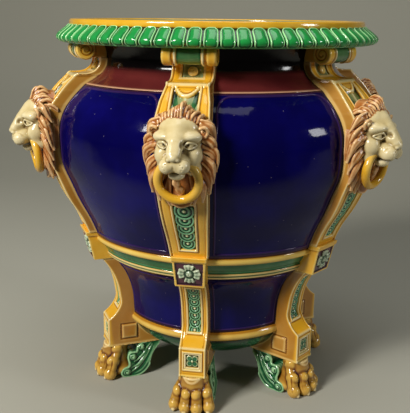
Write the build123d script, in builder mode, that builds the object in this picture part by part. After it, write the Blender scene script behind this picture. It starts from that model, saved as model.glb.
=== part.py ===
from build123d import *
import os
from math import cos, hypot, pi, radians, sin

# A round cachepot on six ribs. +Z is up, the axis of the vessel is Z, and the floor is Z = 0.
# The front rib lies on -Y. Every rib piece is drawn once on +X and then turned to its place.
# Lengths are in millimetres.

# Height of the vessel, and the heights of its outline's turns as shares of it
overall_height = 400.0
neck_share = 0.895
shoulder_share = 0.84
belly_share = 0.69
waist_top_share = 0.4325
waist_low_share = 0.3675
foot_top_share = 0.1925
foot_low_share = 0.165
base_share = 0.0975

# Radii of the vessel, outside
rim_radius = 172.5
rim_under_radius = 165.0
rim_top_radius = 160.5
lip_radius = 158.5
mouth_radius = 147.5
neck_top_radius = 132.0
neck_radius = 128.5
shoulder_radius = 151.5
belly_radius = 180.5
waist_top_radius = 141.5
waist_low_radius = 127.0
foot_radius = 101.5
base_edge_radius = 99.5
base_radius = 52.0
wall = 9.0

# Rim, waist and foot mouldings
lip_height = 6.5
lip_rounding = 2.0
rim_height = 16.5
tongues = 72
tongue_gap = 1.6
tongue_gap_depth = 2.4
waist_moulding_height = 8.0
waist_fillet_height = 6.5
waist_moulding_bulge = 2.6
waist_fillet_bulge = 1.2
foot_bulge = 3.6

# Ribs
ribs = 6
front_angle = -90.0
rib_stand = 10.0
rib_belly_width = 50.0
rib_ledge_width = 42.0
rib_waist_width = 37.5
neck_strap_stand = 5.0
ledge_reach = 7.0
ledge_rise = 9.5
rib_top_drop = 15.0
block_above_waist = 4.0
block_below_waist = 3.0
block_top_width = 34.0
block_low_width = 30.0
block_top_stand = 9.5
block_low_stand = 18.0
lower_strap_width = 28.0
lower_strap_stand = 8.0
plinth_radius = 130.0
plinth_top_height = 70.0
plinth_low_height = 38.0
plinth_depth = 52.0
tablet_length = 17.0
tablet_height = 16.0
tablet_stand = 1.2
tablet_offset = 15.0

# Sunk panels and their trims
panel_depth = 2.0
relief_base = 1.0
disc_stand = 1.6
upper_relief_width = 20.0
upper_relief_low_width = 15.0
relief_above_waist = 12.0
lower_relief_width = 13.0
relief_below_block = 8.0
relief_above_plinth = 14.0
spandrel_width = 24.0
mask_panel_gap = 1.0
spandrel_overlap = 18.0
neck_panel_width = 20.0
neck_panel_height = 9.5
neck_panel_drop = 3.0
button_radius = 4.5
button_stand = 2.0
quatrefoil_radius = 8.5
quatrefoil_lobe = 3.8
quatrefoil_stand = 1.8
quatrefoil_boss = 3.0
plinth_tile_size = 17.0
plinth_tile_drop = 14.0
plinth_petal = 3.0

# Console scroll under the rim
scroll_radius = 10.0
scroll_length = 51.0
scroll_centre_radius = 149.0
scroll_drop = 7.0

# Lion mask and ring
mane_width = 61.0
mane_height = 102.0
mane_top_drop = 2.0
mane_back_radius = 180.0
mane_thickness = 11.0
lock_radius = 7.0
inner_lock_radius = 5.5
nose_radius = 226.5
face_width = 50.0
ring_diameter = 45.5
ring_tube = 8.4
ring_bottom_radius = 197.2
ring_bottom_rise = 14.0
ring_lean = 10.0

# Paw and leaf
paw_width = 50.0
paw_tip_radius = 144.0
paw_heel_radius = 110.0
toe_radius = 7.2
ankle_width = 27.0
leaf_width = 42.0
leaf_tail_radius = 72.0

# One overrun for every cutting tool, and the inner reach of blanks that the vessel trims
overrun = 2.0
blank_radius = 60.0

# Heights of the vessel's turns
neck_height = overall_height * neck_share
shoulder_height = overall_height * shoulder_share
belly_height = overall_height * belly_share
waist_top_height = overall_height * waist_top_share
waist_low_height = overall_height * waist_low_share
foot_top_height = overall_height * foot_top_share
foot_low_height = overall_height * foot_low_share
base_height = overall_height * base_share
rim_top_height = overall_height - lip_height
rim_low_height = rim_top_height - rim_height

# Heights of what sits on the vessel, each from what carries it
moulding_low_height = waist_top_height - waist_moulding_height
fillet_top_height = waist_low_height + waist_fillet_height
block_top_height = waist_top_height + block_above_waist
block_low_height = waist_low_height - block_below_waist
rib_top_height = rim_low_height - rib_top_drop
scroll_centre_height = rim_low_height - scroll_drop
neck_panel_top_height = rib_top_height - neck_panel_drop
neck_panel_low_height = neck_panel_top_height - neck_panel_height
mane_top_height = shoulder_height - mane_top_drop
mane_low_height = mane_top_height - mane_height
ring_bottom_height = mane_low_height + ring_bottom_rise
spandrel_low_height = mane_top_height - spandrel_overlap
upper_relief_top_height = mane_low_height - mask_panel_gap
upper_relief_low_height = waist_top_height + relief_above_waist
lower_relief_top_height = block_low_height - relief_below_block
lower_relief_low_height = plinth_top_height + relief_above_plinth
plinth_tile_height = plinth_top_height - plinth_tile_drop


def along(start, end, shares):
    """Points between two places, each as a share of the radius step and of the height step."""
    dr, dz = end[0] - start[0], end[1] - start[1]
    return [(start[0] + dr * r, start[1] + dz * z) for r, z in shares]


def inset(path, depth):
    """The same path moved square to itself, to the right of its direction of travel."""
    moved = []
    for i, (r, z) in enumerate(path):
        before, after = path[max(i - 1, 0)], path[min(i + 1, len(path) - 1)]
        dr, dz = after[0] - before[0], after[1] - before[1]
        length = hypot(dr, dz)
        moved.append((r - depth * dz / length, z + depth * dr / length))
    return moved


def radius_at(path, height):
    """Radius of a rising path at a height."""
    for (r0, z0), (r1, z1) in zip(path, path[1:]):
        if min(z0, z1) <= height <= max(z0, z1) and z0 != z1:
            return r0 + (r1 - r0) * (height - z0) / (z1 - z0)
    return path[-1][0]


def draw(path, bulge=0):
    """A path as one edge: a line, a smooth curve, or an arc that bulges outward."""
    if bulge:
        (r0, z0), (r1, z1) = path[0], path[-1]
        length = hypot(r1 - r0, z1 - z0)
        middle = ((r0 + r1) / 2 + bulge * (z1 - z0) / length, (z0 + z1) / 2 - bulge * (r1 - r0) / length)
        ThreePointArc(path[0], middle, path[-1])
    elif len(path) == 2:
        Line(*path)
    else:
        Spline(*path)


# Outline of the vessel, from the base up. Shares are of the step between two named places.
base_shares = [(0, 0), (0.33, 0.05), (0.68, 0.34), (0.88, 0.66), (1, 1)]
lower_bowl_shares = [(0, 0), (0.02, 0.15), (0.07, 0.37), (0.24, 0.60), (0.54, 0.82), (1, 1)]
belly_low_shares = [(0, 0), (0.25, 0.22), (0.51, 0.41), (0.755, 0.62), (0.94, 0.80), (1, 1)]
belly_top_shares = [(0.07, 0.42), (0.26, 0.62), (0.62, 0.83), (1, 1)]
neck_low_shares = [(0, 0), (0.37, 0.20), (0.70, 0.43), (0.91, 0.70), (1, 1)]
neck_top_shares = [(0.2, 0.5), (1, 1)]

base_corner = (base_radius, base_height)
base_edge = (base_edge_radius, foot_low_height)
foot_edge = (foot_radius, foot_top_height)
waist_edge = (waist_low_radius, waist_low_height)
belly_edge = (belly_radius, belly_height)
shoulder_edge = (shoulder_radius, shoulder_height)
waist_corner = (waist_top_radius, waist_top_height)


def waist_place(height):
    return (radius_at([waist_edge, waist_corner], height), height)


base_path = along(base_corner, base_edge, base_shares)
foot_path = [base_edge, foot_edge]
lower_bowl_path = along(foot_edge, waist_edge, lower_bowl_shares)
fillet_path = [waist_edge, waist_place(fillet_top_height)]
band_path = [waist_place(fillet_top_height), waist_place(moulding_low_height)]
moulding_path = [waist_place(moulding_low_height), waist_corner]
upper_bowl_path = (along(waist_corner, belly_edge, belly_low_shares)
                   + along(belly_edge, shoulder_edge, belly_top_shares))
neck_narrow = (neck_radius, neck_height)
neck_path = (along(shoulder_edge, neck_narrow, neck_low_shares)
             + along(neck_narrow, (neck_top_radius, rim_low_height), neck_top_shares))

sections = [("base_dish", base_path, 0), ("foot_band", foot_path, foot_bulge),
            ("lower_bowl", lower_bowl_path, 0), ("waist_fillet", fillet_path, waist_fillet_bulge),
            ("waist_band", band_path, 0), ("waist_moulding", moulding_path, waist_moulding_bulge),
            ("upper_bowl", upper_bowl_path, 0), ("neck", neck_path, 0)]

wall_path = [base_path[0]]
for _, path, _ in sections:
    wall_path += path[1:]
inner_wall = inset(wall_path, wall)

finished = []


def keep(piece, label):
    """Name a finished piece and put it on the list of pieces."""
    piece.label = label
    finished.append(piece)


# Vessel sections: each is the wall between two seats that lie square to it
start = 0
for name, path, bulge in sections:
    inner_path = inner_wall[start:start + len(path)]
    start += len(path) - 1
    with BuildPart() as section:
        with BuildSketch(Plane.XZ):
            with BuildLine():
                draw(path, bulge)
                if name == "base_dish":
                    floor_corner = (base_radius, base_height + wall)
                    inner_path = [floor_corner] + inner_path[1:]
                    Polyline((0, base_height), path[0])
                    Polyline(floor_corner, (0, base_height + wall), (0, base_height))
                else:
                    Line(path[0], inner_path[0])
                draw(inner_path)
                Line(path[-1], inner_path[-1])
            make_face()
        revolve(axis=Axis.Z)
    keep(section.part, name)

# The whole vessel as one filled body, which trims everything luted onto it
with BuildPart() as core:
    with BuildSketch(Plane.XZ):
        with BuildLine():
            for _, path, bulge in sections:
                draw(path, bulge)
            Polyline(wall_path[-1], (0, rim_low_height), (0, base_height), wall_path[0])
        make_face()
    revolve(axis=Axis.Z)

# Gadrooned rim: an overhanging round with a gap between each pair of tongues
rim_crown = (rim_radius, rim_low_height + rim_height * 0.27)
rim_low_corner = (rim_under_radius, rim_low_height)
rim_shares = [(0, 0), (0.45, 0.05)]
rim_top_shares = [(0.28, 0.42), (1, 1)]
rim_path = (along(rim_low_corner, rim_crown, rim_shares) + [rim_crown]
            + along(rim_crown, (rim_top_radius, rim_top_height), rim_top_shares))
rim_inner_low = inner_wall[-1]
rim_inner_shares = [(0, 0), (0.40, 0.30), (1, 1)]
with BuildPart() as rim:
    with BuildSketch(Plane.XZ):
        with BuildLine():
            Line(wall_path[-1], rim_low_corner)
            draw(rim_path)
            Line(rim_path[-1], (mouth_radius, rim_top_height))
            draw(along(rim_inner_low, (mouth_radius, rim_top_height), rim_inner_shares))
            Line(rim_inner_low, wall_path[-1])
        make_face()
    revolve(axis=Axis.Z)
    with BuildPart(mode=Mode.PRIVATE) as gap:
        with BuildSketch(Plane.XZ):
            with BuildLine():
                outside = inset(rim_path, -overrun)
                Polyline(*inset(rim_path, tongue_gap_depth), *reversed(outside), close=True)
            make_face()
        extrude(amount=tongue_gap / 2, both=True)
    with PolarLocations(0, tongues):
        add(gap.part, mode=Mode.SUBTRACT)
keep(rim.part, "rim_gadroons")

# Lip: a plain round-edged ring on the rim
with BuildPart() as lip:
    with BuildSketch(Plane.XZ):
        with Locations(((lip_radius + mouth_radius) / 2, rim_top_height + lip_height / 2)):
            Rectangle(lip_radius - mouth_radius, lip_height)
    revolve(axis=Axis.Z)
    fillet(lip.edges().group_by(Axis.Z)[-1], lip_rounding)
keep(lip.part, "rim_lip")


def turned(piece, index):
    """A rib piece turned from +X to its place, rib 1 at the front."""
    with BuildPart() as placed:
        add(piece, rotation=(0, 0, front_angle + 360 / ribs * index))
    return placed.part


def keep_each(piece, label):
    """The same piece on every rib, each its own node."""
    for index in range(ribs):
        keep(turned(piece, index), f"{label}_{index + 1}")


def keep_group(piece, label):
    """The same small trim on every rib, in one node."""
    with BuildPart() as group:
        for index in range(ribs):
            add(piece, rotation=(0, 0, front_angle + 360 / ribs * index))
    keep(group.part, label)


def slab(points, width):
    """A side profile in radius and height, drawn out to a width about the rib's middle plane."""
    with BuildPart() as made:
        with BuildSketch(Plane.XZ):
            with BuildLine():
                Polyline(*points, close=True)
            make_face()
        extrude(amount=width / 2, both=True)
    return made.part


def front_shape(points):
    """A front outline of half widths and heights, mirrored and drawn out along the rib's radius."""
    with BuildPart() as made:
        with BuildSketch(Plane.YZ):
            with BuildLine():
                Polyline(*points, *[(-y, z) for y, z in reversed(points)], close=True)
            make_face()
        extrude(amount=nose_radius + overrun)
    return made.part


def layer(path, low, high, depth, cover, low_width, high_width):
    """A sheet that follows a strap's outer face between two depths under it."""
    with BuildPart() as made:
        add(slab(inset(path, depth) + list(reversed(inset(path, cover))), max(low_width, high_width)))
        add(front_shape([(low_width / 2, low), (high_width / 2, high)]), mode=Mode.INTERSECT)
    return made.part


# Upper strap: its face follows the wall at a stand that changes with height
ledge_tip = (shoulder_radius + ledge_reach, shoulder_height + ledge_rise)
stand_shares = [(0.04, 0.50), (0.14, 0.62), (0.25, 0.78), (0.39, 0.80), (0.50, 0.82), (0.63, 0.95),
                (0.71, 1.00), (0.785, 1.10), (0.86, 1.38), (0.92, 1.50), (0.965, 1.62), (0.995, 1.70)]
rise = shoulder_height - waist_top_height
strap_path = [(radius_at(upper_bowl_path, waist_top_height + rise * z) + rib_stand * stand,
               waist_top_height + rise * z) for z, stand in stand_shares] + [ledge_tip]
low_part = [(strap_path[0][0], block_top_height)]
neck_face = [place for place in inset(neck_path, -neck_strap_stand) if place[0] < shoulder_radius - ledge_reach]
rib_top = (neck_radius + neck_strap_stand, rib_top_height)
neck_face = [place for place in neck_face if place[1] < rib_top_height - overrun] + [rib_top]
upper_widths = [(rib_waist_width / 2, block_top_height), (rib_belly_width * 0.46, upper_relief_top_height),
                (rib_belly_width / 2, belly_height), (rib_belly_width / 2, spandrel_low_height),
                (rib_ledge_width / 2, ledge_tip[1]), (rib_ledge_width / 2, rib_top_height)]
neck_front = [ledge_tip] + neck_face
with BuildPart() as rib_blank:
    with BuildSketch(Plane.XZ):
        with BuildLine():
            Line((blank_radius, block_top_height), low_part[0])
            draw(low_part + strap_path[1:])
            draw([ledge_tip] + neck_face)
            Polyline(rib_top, (blank_radius, rib_top_height), (blank_radius, block_top_height))
        make_face()
    extrude(amount=rib_belly_width / 2, both=True)
    add(front_shape(upper_widths), mode=Mode.INTERSECT)
    add(core.part, mode=Mode.SUBTRACT)

upper_panels = {
    "spandrel_panels": layer(strap_path, spandrel_low_height, shoulder_height, panel_depth, -overrun,
                             spandrel_width, spandrel_width),
    "upper_reliefs": layer(strap_path, upper_relief_low_height, upper_relief_top_height, panel_depth, -overrun,
                           upper_relief_low_width, upper_relief_width),
    "neck_panels": layer(neck_front, neck_panel_low_height, neck_panel_top_height, panel_depth,
                         -overrun, neck_panel_width, neck_panel_width)}
with BuildPart() as rib_upper:
    add(rib_blank.part)
    add(list(upper_panels.values()), mode=Mode.SUBTRACT)


def disc_strip(path, low, high, low_width, high_width):
    """A sunk strip with a column of overlapping discs, each with a rim step and a boss."""
    with BuildPart() as strip:
        add(layer(path, low, high, panel_depth, relief_base, low_width, high_width))
        count = round((high - low) / (low_width * 0.75))
        for i in range(count):
            height = low + (high - low) * (i + 0.5) / count
            width = low_width + (high_width - low_width) * (i + 0.5) / count
            radius = radius_at(path, height)
            lower, upper = radius_at(path, height - disc_stand), radius_at(path, height + disc_stand)
            facing = Vector(2 * disc_stand, 0, lower - upper).normalized()
            seat = Vector(radius, 0, height) - facing * panel_depth
            for share, stand in ((0.44, 1.0), (0.28, 1.25), (0.12, 1.5)):
                with BuildSketch(Plane(origin=seat, x_dir=(0, 1, 0), z_dir=facing)):
                    Circle(width * share)
                extrude(amount=disc_stand * stand)
        add(layer(path, low, high, panel_depth, -overrun, low_width, high_width), mode=Mode.INTERSECT)
    return strip.part


keep_each(rib_upper.part, "rib_upper")
keep_group(disc_strip(strap_path, upper_relief_low_height, upper_relief_top_height,
                      upper_relief_low_width, upper_relief_width), "upper_reliefs")
keep_group(layer(strap_path, spandrel_low_height, shoulder_height, panel_depth, relief_base,
                 spandrel_width, spandrel_width), "spandrel_panels")
neck_plate = layer(neck_front, neck_panel_low_height, neck_panel_top_height, panel_depth, relief_base,
                   neck_panel_width, neck_panel_width)
keep_group(neck_plate, "neck_panels")

# Button on the neck panel
button_height = (neck_panel_top_height + neck_panel_low_height) / 2
button_low = radius_at(neck_front, button_height - button_stand)
button_high = radius_at(neck_front, button_height + button_stand)
button_facing = Vector(2 * button_stand, 0, button_low - button_high).normalized()
button_seat = Vector(radius_at(neck_front, button_height), 0, button_height) - button_facing * panel_depth
with BuildPart() as button:
    with BuildSketch(Plane(origin=button_seat, x_dir=(0, 1, 0), z_dir=button_facing)):
        Circle(button_radius)
    extrude(amount=panel_depth + button_stand)
    fillet(button.edges().sort_by(Axis.X)[-1], button_stand * 0.6)
    add(neck_plate, mode=Mode.SUBTRACT)
keep_group(button.part.solids().sort_by(Axis.X)[-1], "neck_buttons")

# Waist block: a raised plain block where the waist mouldings cross the rib
block_top = (radius_at(upper_bowl_path, block_top_height) + block_top_stand, block_top_height)
block_low = (waist_low_radius + block_low_stand, block_low_height)
with BuildPart() as waist_block:
    add(slab([(blank_radius, block_low_height), block_low, block_top, (blank_radius, block_top_height)],
             block_top_width))
    add(front_shape([(block_low_width / 2, block_low_height), (block_top_width / 2, block_top_height)]),
        mode=Mode.INTERSECT)
    add(core.part, mode=Mode.SUBTRACT)
keep_group(waist_block.part, "waist_blocks")

block_middle = ((block_top[0] + block_low[0]) / 2, (block_top[1] + block_low[1]) / 2)
block_facing = Vector(block_top[1] - block_low[1], 0, block_low[0] - block_top[0]).normalized()
block_plane = Plane(origin=(block_middle[0], 0, block_middle[1]), x_dir=(0, 1, 0), z_dir=block_facing)
with BuildPart() as quatrefoil:
    with BuildSketch(block_plane):
        with PolarLocations(quatrefoil_radius - quatrefoil_lobe, 4):
            Circle(quatrefoil_lobe)
        Circle(quatrefoil_lobe)
    extrude(amount=quatrefoil_stand)
    with BuildSketch(block_plane):
        Circle(quatrefoil_boss)
    extrude(amount=quatrefoil_stand * 1.5)
keep_group(quatrefoil.part, "quatrefoils")

# Lower strap and plinth: one piece from the waist block down to the paw
lower_shares = [(0, 0), (0.03, 0.13), (0.10, 0.30), (0.28, 0.55), (0.62, 0.80), (1, 1)]
lower_top = (waist_low_radius + lower_strap_stand, block_low_height)
lower_narrow = (foot_radius + lower_strap_stand * 1.7, plinth_top_height * 1.29)
plinth_corner = (plinth_radius, plinth_top_height)
plinth_slope_shares = [(0.25, 0.45), (0.58, 0.75), (1, 1)]
lower_path = (list(reversed(along(lower_narrow, plinth_corner, plinth_slope_shares)))
              + along(lower_narrow, lower_top, lower_shares))
plinth_inner = (plinth_radius - plinth_depth, plinth_low_height)
with BuildPart() as lower_blank:
    with BuildSketch(Plane.XZ):
        with BuildLine():
            draw(lower_path)
            Polyline(lower_top, (blank_radius, block_low_height), (blank_radius, base_height),
                     plinth_inner, (plinth_radius, plinth_low_height), plinth_corner)
        make_face()
    extrude(amount=lower_strap_width / 2, both=True)
    tablet_place = (plinth_radius - tablet_offset - tablet_length / 2, 0,
                    (plinth_top_height + plinth_low_height) / 2)
    with Locations(tablet_place):
        Box(tablet_length, lower_strap_width + 2 * tablet_stand, tablet_height)
    add(core.part, mode=Mode.SUBTRACT)

lower_pocket = layer(lower_path, lower_relief_low_height, lower_relief_top_height, panel_depth, -overrun,
                     lower_relief_width, lower_relief_width)
tile_place = (plinth_radius - panel_depth / 2, 0, plinth_tile_height)
with BuildPart() as rib_lower:
    add(lower_blank.part)
    add(lower_pocket, mode=Mode.SUBTRACT)
    with Locations(tile_place):
        Box(panel_depth, plinth_tile_size, plinth_tile_size, mode=Mode.SUBTRACT)
keep_each(rib_lower.part, "rib_lower")
keep_group(disc_strip(lower_path, lower_relief_low_height, lower_relief_top_height,
                      lower_relief_width, lower_relief_width), "lower_reliefs")

with BuildPart() as plinth_tile:
    with Locations((plinth_radius - panel_depth / 2 - relief_base / 2, 0, plinth_tile_height)):
        Box(panel_depth - relief_base, plinth_tile_size, plinth_tile_size)
    tile_plane = Plane(origin=(plinth_radius - relief_base, 0, plinth_tile_height),
                       x_dir=(0, 1, 0), z_dir=(1, 0, 0))
    with BuildSketch(tile_plane):
        with PolarLocations(plinth_petal * 1.3, 4, start_angle=45):
            Circle(plinth_petal)
        Circle(plinth_petal)
    extrude(amount=disc_stand)
keep_group(plinth_tile.part, "plinth_tiles")

# Console scroll: a roll with drum ends and bead rings, on a bracket against the neck
roll_shares = [(0, 0.86), (0.20, 0.86), (0.20, 1.03), (0.28, 1.03), (0.28, 0.90), (0.33, 0.90),
               (0.33, 1.0), (0.5, 1.0)]
half_roll = [(scroll_length * y, scroll_radius * r) for y, r in roll_shares]
roll_centre = (scroll_centre_radius, 0, scroll_centre_height)
with BuildPart() as scroll:
    with BuildSketch(Plane(origin=roll_centre, x_dir=(0, 1, 0), z_dir=(1, 0, 0))):
        with BuildLine():
            Polyline(*half_roll, (scroll_length / 2, 0), (-scroll_length / 2, 0),
                     *[(-y, r) for y, r in reversed(half_roll)][:-1], close=True)
        make_face()
    revolve(axis=Axis(roll_centre, (0, 1, 0)))
    add(slab([(blank_radius, rib_top_height), (scroll_centre_radius, rib_top_height),
              (scroll_centre_radius, rim_low_height), (blank_radius, rim_low_height)], rib_ledge_width))
    add(slab([(blank_radius, rim_low_height), (rim_radius, rim_low_height),
              (rim_radius, overall_height), (blank_radius, overall_height)], 2 * scroll_length),
        mode=Mode.SUBTRACT)
    add(core.part, mode=Mode.SUBTRACT)
keep_each(scroll.part, "console_scroll")

# Ring: hangs from the mouth corners and leans in until it rests on the beard
ring_major = (ring_diameter - ring_tube) / 2
lean = radians(ring_lean)
ring_centre = (ring_bottom_radius + ring_major * sin(lean), 0, ring_bottom_height + ring_major * cos(lean))
with BuildPart() as ring:
    with Locations(Plane(origin=ring_centre, x_dir=(0, 1, 0), z_dir=(cos(lean), 0, -sin(lean)))):
        Torus(ring_major, ring_tube / 2)
keep_each(ring.part, "ring")

# Lion mask: a mane plate with two rows of locks, a snout in sections, and the lumps of the face
mane_front = mane_back_radius + mane_thickness * 0.45
mane_half_shares = [(0, 1), (0.36, 0.985), (0.72, 0.89), (0.94, 0.71), (1, 0.50), (0.90, 0.32),
                    (0.64, 0.16), (0.32, 0.05), (0, 0)]
face_shares = [(0, 0.985, 0.24, 1.0), (0.26, 0.92, 0.29, 1.0), (0.45, 0.845, 0.33, 0.93),
               (0.62, 0.765, 0.37, 0.76), (0.76, 0.675, 0.39, 0.58), (0.89, 0.625, 0.43, 0.46),
               (0.985, 0.585, 0.49, 0.28)]
brow_shares = (0.46, 0.46, 0.755, 0.13)
eye_shares = (0.56, 0.44, 0.680, 0.064)
cheek_shares = (0.34, 0.62, 0.510, 0.22)
pad_shares = (0.70, 0.28, 0.485, 0.18)
chin_shares = (0.52, 0, 0.400, 0.15)
nose_shares = (0.87, 0, 0.565, 0.115)
outer_locks = 16
inner_locks = 12
pole_forward = (0, 90, 0)


def face_place(reach, side, rise_share):
    """A place on the mask from its reach to the nose, its side step and its height, as shares."""
    return (mane_front + (nose_radius - mane_front) * reach, face_width / 2 * side,
            mane_low_height + mane_height * rise_share)


def lock_places(count, spread_share, reach):
    """Places on a pointed oval round the face."""
    places = []
    for i in range(count):
        turn = 2 * pi * i / count
        places.append((mane_back_radius + mane_thickness * reach,
                       mane_width / 2 * spread_share * sin(turn) * (0.86 + 0.14 * cos(turn)),
                       mane_low_height + mane_height * (0.5 + 0.5 * spread_share * cos(turn))))
    return places


with BuildPart() as mask:
    with BuildSketch(Plane.YZ.offset(mane_back_radius)):
        with BuildLine():
            half = [(mane_width / 2 * y * 0.92, mane_low_height + mane_height * z) for y, z in mane_half_shares]
            Spline(*half)
            Spline(*[(-y, z) for y, z in half])
        make_face()
    extrude(amount=mane_thickness * 0.8)
    for reach, top, low, half_share in face_shares:
        centre = face_place(reach, 0, (top + low) / 2)
        with BuildSketch(Plane(origin=centre, x_dir=(0, 1, 0), z_dir=(1, 0, 0))):
            Ellipse(face_width / 2 * half_share, mane_height * (top - low) / 2)
    loft()
    for reach, side, height, size in (brow_shares, eye_shares, cheek_shares, pad_shares):
        for hand in (1, -1):
            with Locations(face_place(reach, side * hand, height)):
                Sphere(face_width * size, rotation=pole_forward)
    for reach, side, height, size in (chin_shares, nose_shares):
        with Locations(face_place(reach, side, height)):
            Sphere(face_width * size)
    with Locations(*lock_places(outer_locks, 0.86, 0.5)):
        Sphere(lock_radius)
    with Locations(*lock_places(inner_locks, 0.70, 1.0)):
        Sphere(inner_lock_radius)
    with BuildSketch(Plane.XY.offset(mane_low_height - mane_height)):
        with Locations(((mane_back_radius + nose_radius * 2) / 2, 0)):
            Rectangle(nose_radius * 2 - mane_back_radius, mane_width * 2)
    extrude(amount=mane_height * 3, mode=Mode.INTERSECT)
    add(rib_blank.part, mode=Mode.SUBTRACT)
    add(ring.part, mode=Mode.SUBTRACT)
keep_each(mask.part.solids().sort_by(SortBy.VOLUME)[-1], "lion_mask")

# Paw: a heel, and four toes of three lumps each, cut flat at the floor and under the plinth
toe_side_shares = (-0.74, -0.25, 0.25, 0.74)
toe_back_shares = (0.80, 0, 0, 0.80)
toe_lump_shares = [(0, 1.0, 0.90, 1.0), (0.75, 0.82, 3.0, 0.97), (1.75, 0.55, 4.35, 0.90)]
heel_radius = (paw_tip_radius + paw_heel_radius) / 2


def rod(first, last, radius):
    """A round rod between two places."""
    with BuildPart() as made:
        with BuildSketch(Plane(origin=first, z_dir=Vector(*last) - Vector(*first))):
            Circle(radius)
        extrude(amount=(Vector(*last) - Vector(*first)).length)
    return made.part


with BuildPart() as paw:
    with BuildSketch(Plane.XY):
        with Locations((heel_radius - toe_radius * 0.5, 0)):
            Ellipse(paw_width * 0.33, paw_width * 0.41)
    with BuildSketch(Plane.XY.offset(plinth_low_height)):
        with Locations((heel_radius - toe_radius * 1.2, 0)):
            Ellipse(ankle_width * 0.44, ankle_width / 2)
    loft()
    for side, back in zip(toe_side_shares, toe_back_shares):
        tip = paw_tip_radius - toe_radius * (1 + back)
        lumps = [(tip - toe_radius * inward, paw_width / 2 * side * narrow, toe_radius * up)
                 for inward, narrow, up, _ in toe_lump_shares]
        for place, shape in zip(lumps, toe_lump_shares):
            with Locations(place):
                Sphere(toe_radius * shape[3])
        for first, last in zip(lumps, lumps[1:]):
            add(rod(first, last, toe_radius * 0.8))
    with BuildSketch(Plane.XY):
        with Locations((heel_radius, 0)):
            Rectangle(paw_width * 2, paw_width * 2)
    extrude(amount=plinth_low_height, mode=Mode.INTERSECT)
keep_each(paw.part, "paw")

# Leaf: a fin behind the paw with three rolled lobes, up to the plinth and the base
leaf_step = (paw_heel_radius - leaf_tail_radius, plinth_low_height)
leaf_inner_shares = [(0.90, 0), (0.66, 0.04), (0.40, 0.25), (0.22, 0.52), (0.08, 0.78), (-0.02, 1.22)]
leaf_front_shares = [(0.16, 1.22), (0.16, 1.0), (0.56, 1.0), (0.74, 0.79), (0.86, 0.47), (1.0, 0.26), (1.08, 0)]
lobe_shares = [(1.02, 0.15, 0.145), (0.79, 0.61, 0.145), (0.45, 0.82, 0.12)]
leaf_widths = [(leaf_width / 2, 0), (leaf_width / 2, plinth_low_height * 0.4),
               (lower_strap_width / 2, plinth_low_height), (lower_strap_width / 2, plinth_low_height * 2)]


def leaf_place(share):
    return (leaf_tail_radius + leaf_step[0] * share[0], leaf_step[1] * share[1])


with BuildPart() as leaf:
    with BuildSketch(Plane.XZ):
        with BuildLine():
            Spline(*[leaf_place(share) for share in leaf_inner_shares])
            Polyline(*[leaf_place(share) for share in [leaf_inner_shares[-1]] + leaf_front_shares
                       + [leaf_inner_shares[0]]])
        make_face()
        for reach, up, size in lobe_shares:
            with Locations(leaf_place((reach, up))):
                Circle(leaf_step[1] * size)
    extrude(amount=leaf_width / 2, both=True)
    add(front_shape(leaf_widths), mode=Mode.INTERSECT)
    add([paw.part, core.part, lower_blank.part], mode=Mode.SUBTRACT)
keep_each(leaf.part.solids().sort_by(SortBy.VOLUME)[-1], "leaf")

os.makedirs("parts", exist_ok=True)
for piece in finished:
    export_step(piece, f"parts/{piece.label}.step")
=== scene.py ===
# %% [markdown]
# A glazed cachepot on six ribs, dressed in Blender. The real pot is earthenware: its body was turned and
# its ribs, masks, paws and small trims were pressed in moulds and stuck on with slip. Each piece was then
# painted with its own coloured lead glaze. The CAD model gives every piece its place and size. This script
# gives each one its fine relief and its glaze.

# %% Load the frame
import math

import bmesh
import bpy
import numpy as np
from mathutils import Matrix, Vector


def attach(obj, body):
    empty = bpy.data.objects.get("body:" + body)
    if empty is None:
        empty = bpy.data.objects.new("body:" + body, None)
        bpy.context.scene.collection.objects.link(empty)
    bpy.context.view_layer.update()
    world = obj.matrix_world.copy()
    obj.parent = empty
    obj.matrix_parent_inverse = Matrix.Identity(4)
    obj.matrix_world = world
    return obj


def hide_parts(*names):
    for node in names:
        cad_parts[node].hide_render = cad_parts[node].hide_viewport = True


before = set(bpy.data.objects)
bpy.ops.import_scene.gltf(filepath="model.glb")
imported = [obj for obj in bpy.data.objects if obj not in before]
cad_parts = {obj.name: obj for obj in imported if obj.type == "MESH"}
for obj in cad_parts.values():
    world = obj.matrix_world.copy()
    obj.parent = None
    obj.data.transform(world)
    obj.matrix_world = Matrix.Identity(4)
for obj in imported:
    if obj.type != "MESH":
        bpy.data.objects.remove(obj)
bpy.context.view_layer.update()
MM = 0.001
print("CAD nodes:", len(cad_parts))

# %% [markdown]
# The photograph was taken from a little above the rim, with the front rib 9 degrees left of the view. The
# camera's place and lens come from a fit to the noses, blocks, paws and rings. It is set first, so that
# every later step can be judged from the right angle. The whole picture is rolled by less than a degree.

# %% Camera
YAW, PITCH, ROLL, RIB_TURN = -0.013, 0.257, math.radians(0.66), math.radians(9.19)
EYE = (0.1314, -0.8124, 0.4057)
FOCAL_LENGTH, SENSOR_WIDTH = 63.8, 36.0
forward = Vector((math.sin(YAW) * math.cos(PITCH), math.cos(YAW) * math.cos(PITCH), -math.sin(PITCH)))
forward.rotate(Matrix.Rotation(RIB_TURN, 3, "Z"))
level = forward.cross(Vector((0, 0, 1))).normalized()
upright = level.cross(forward)
right = level * math.cos(ROLL) + upright * math.sin(ROLL)
up = upright * math.cos(ROLL) - level * math.sin(ROLL)
lens = bpy.data.cameras.new("photo_camera")
lens.lens, lens.sensor_width = FOCAL_LENGTH, SENSOR_WIDTH
camera = bpy.data.objects.new("photo_camera", lens)
bpy.context.scene.collection.objects.link(camera)
facing = Matrix((right, up, -forward)).transposed().to_4x4()
camera.matrix_world = Matrix.Translation(EYE) @ facing
bpy.context.scene.camera = camera
bpy.context.scene.view_settings.view_transform = "Standard"
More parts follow.
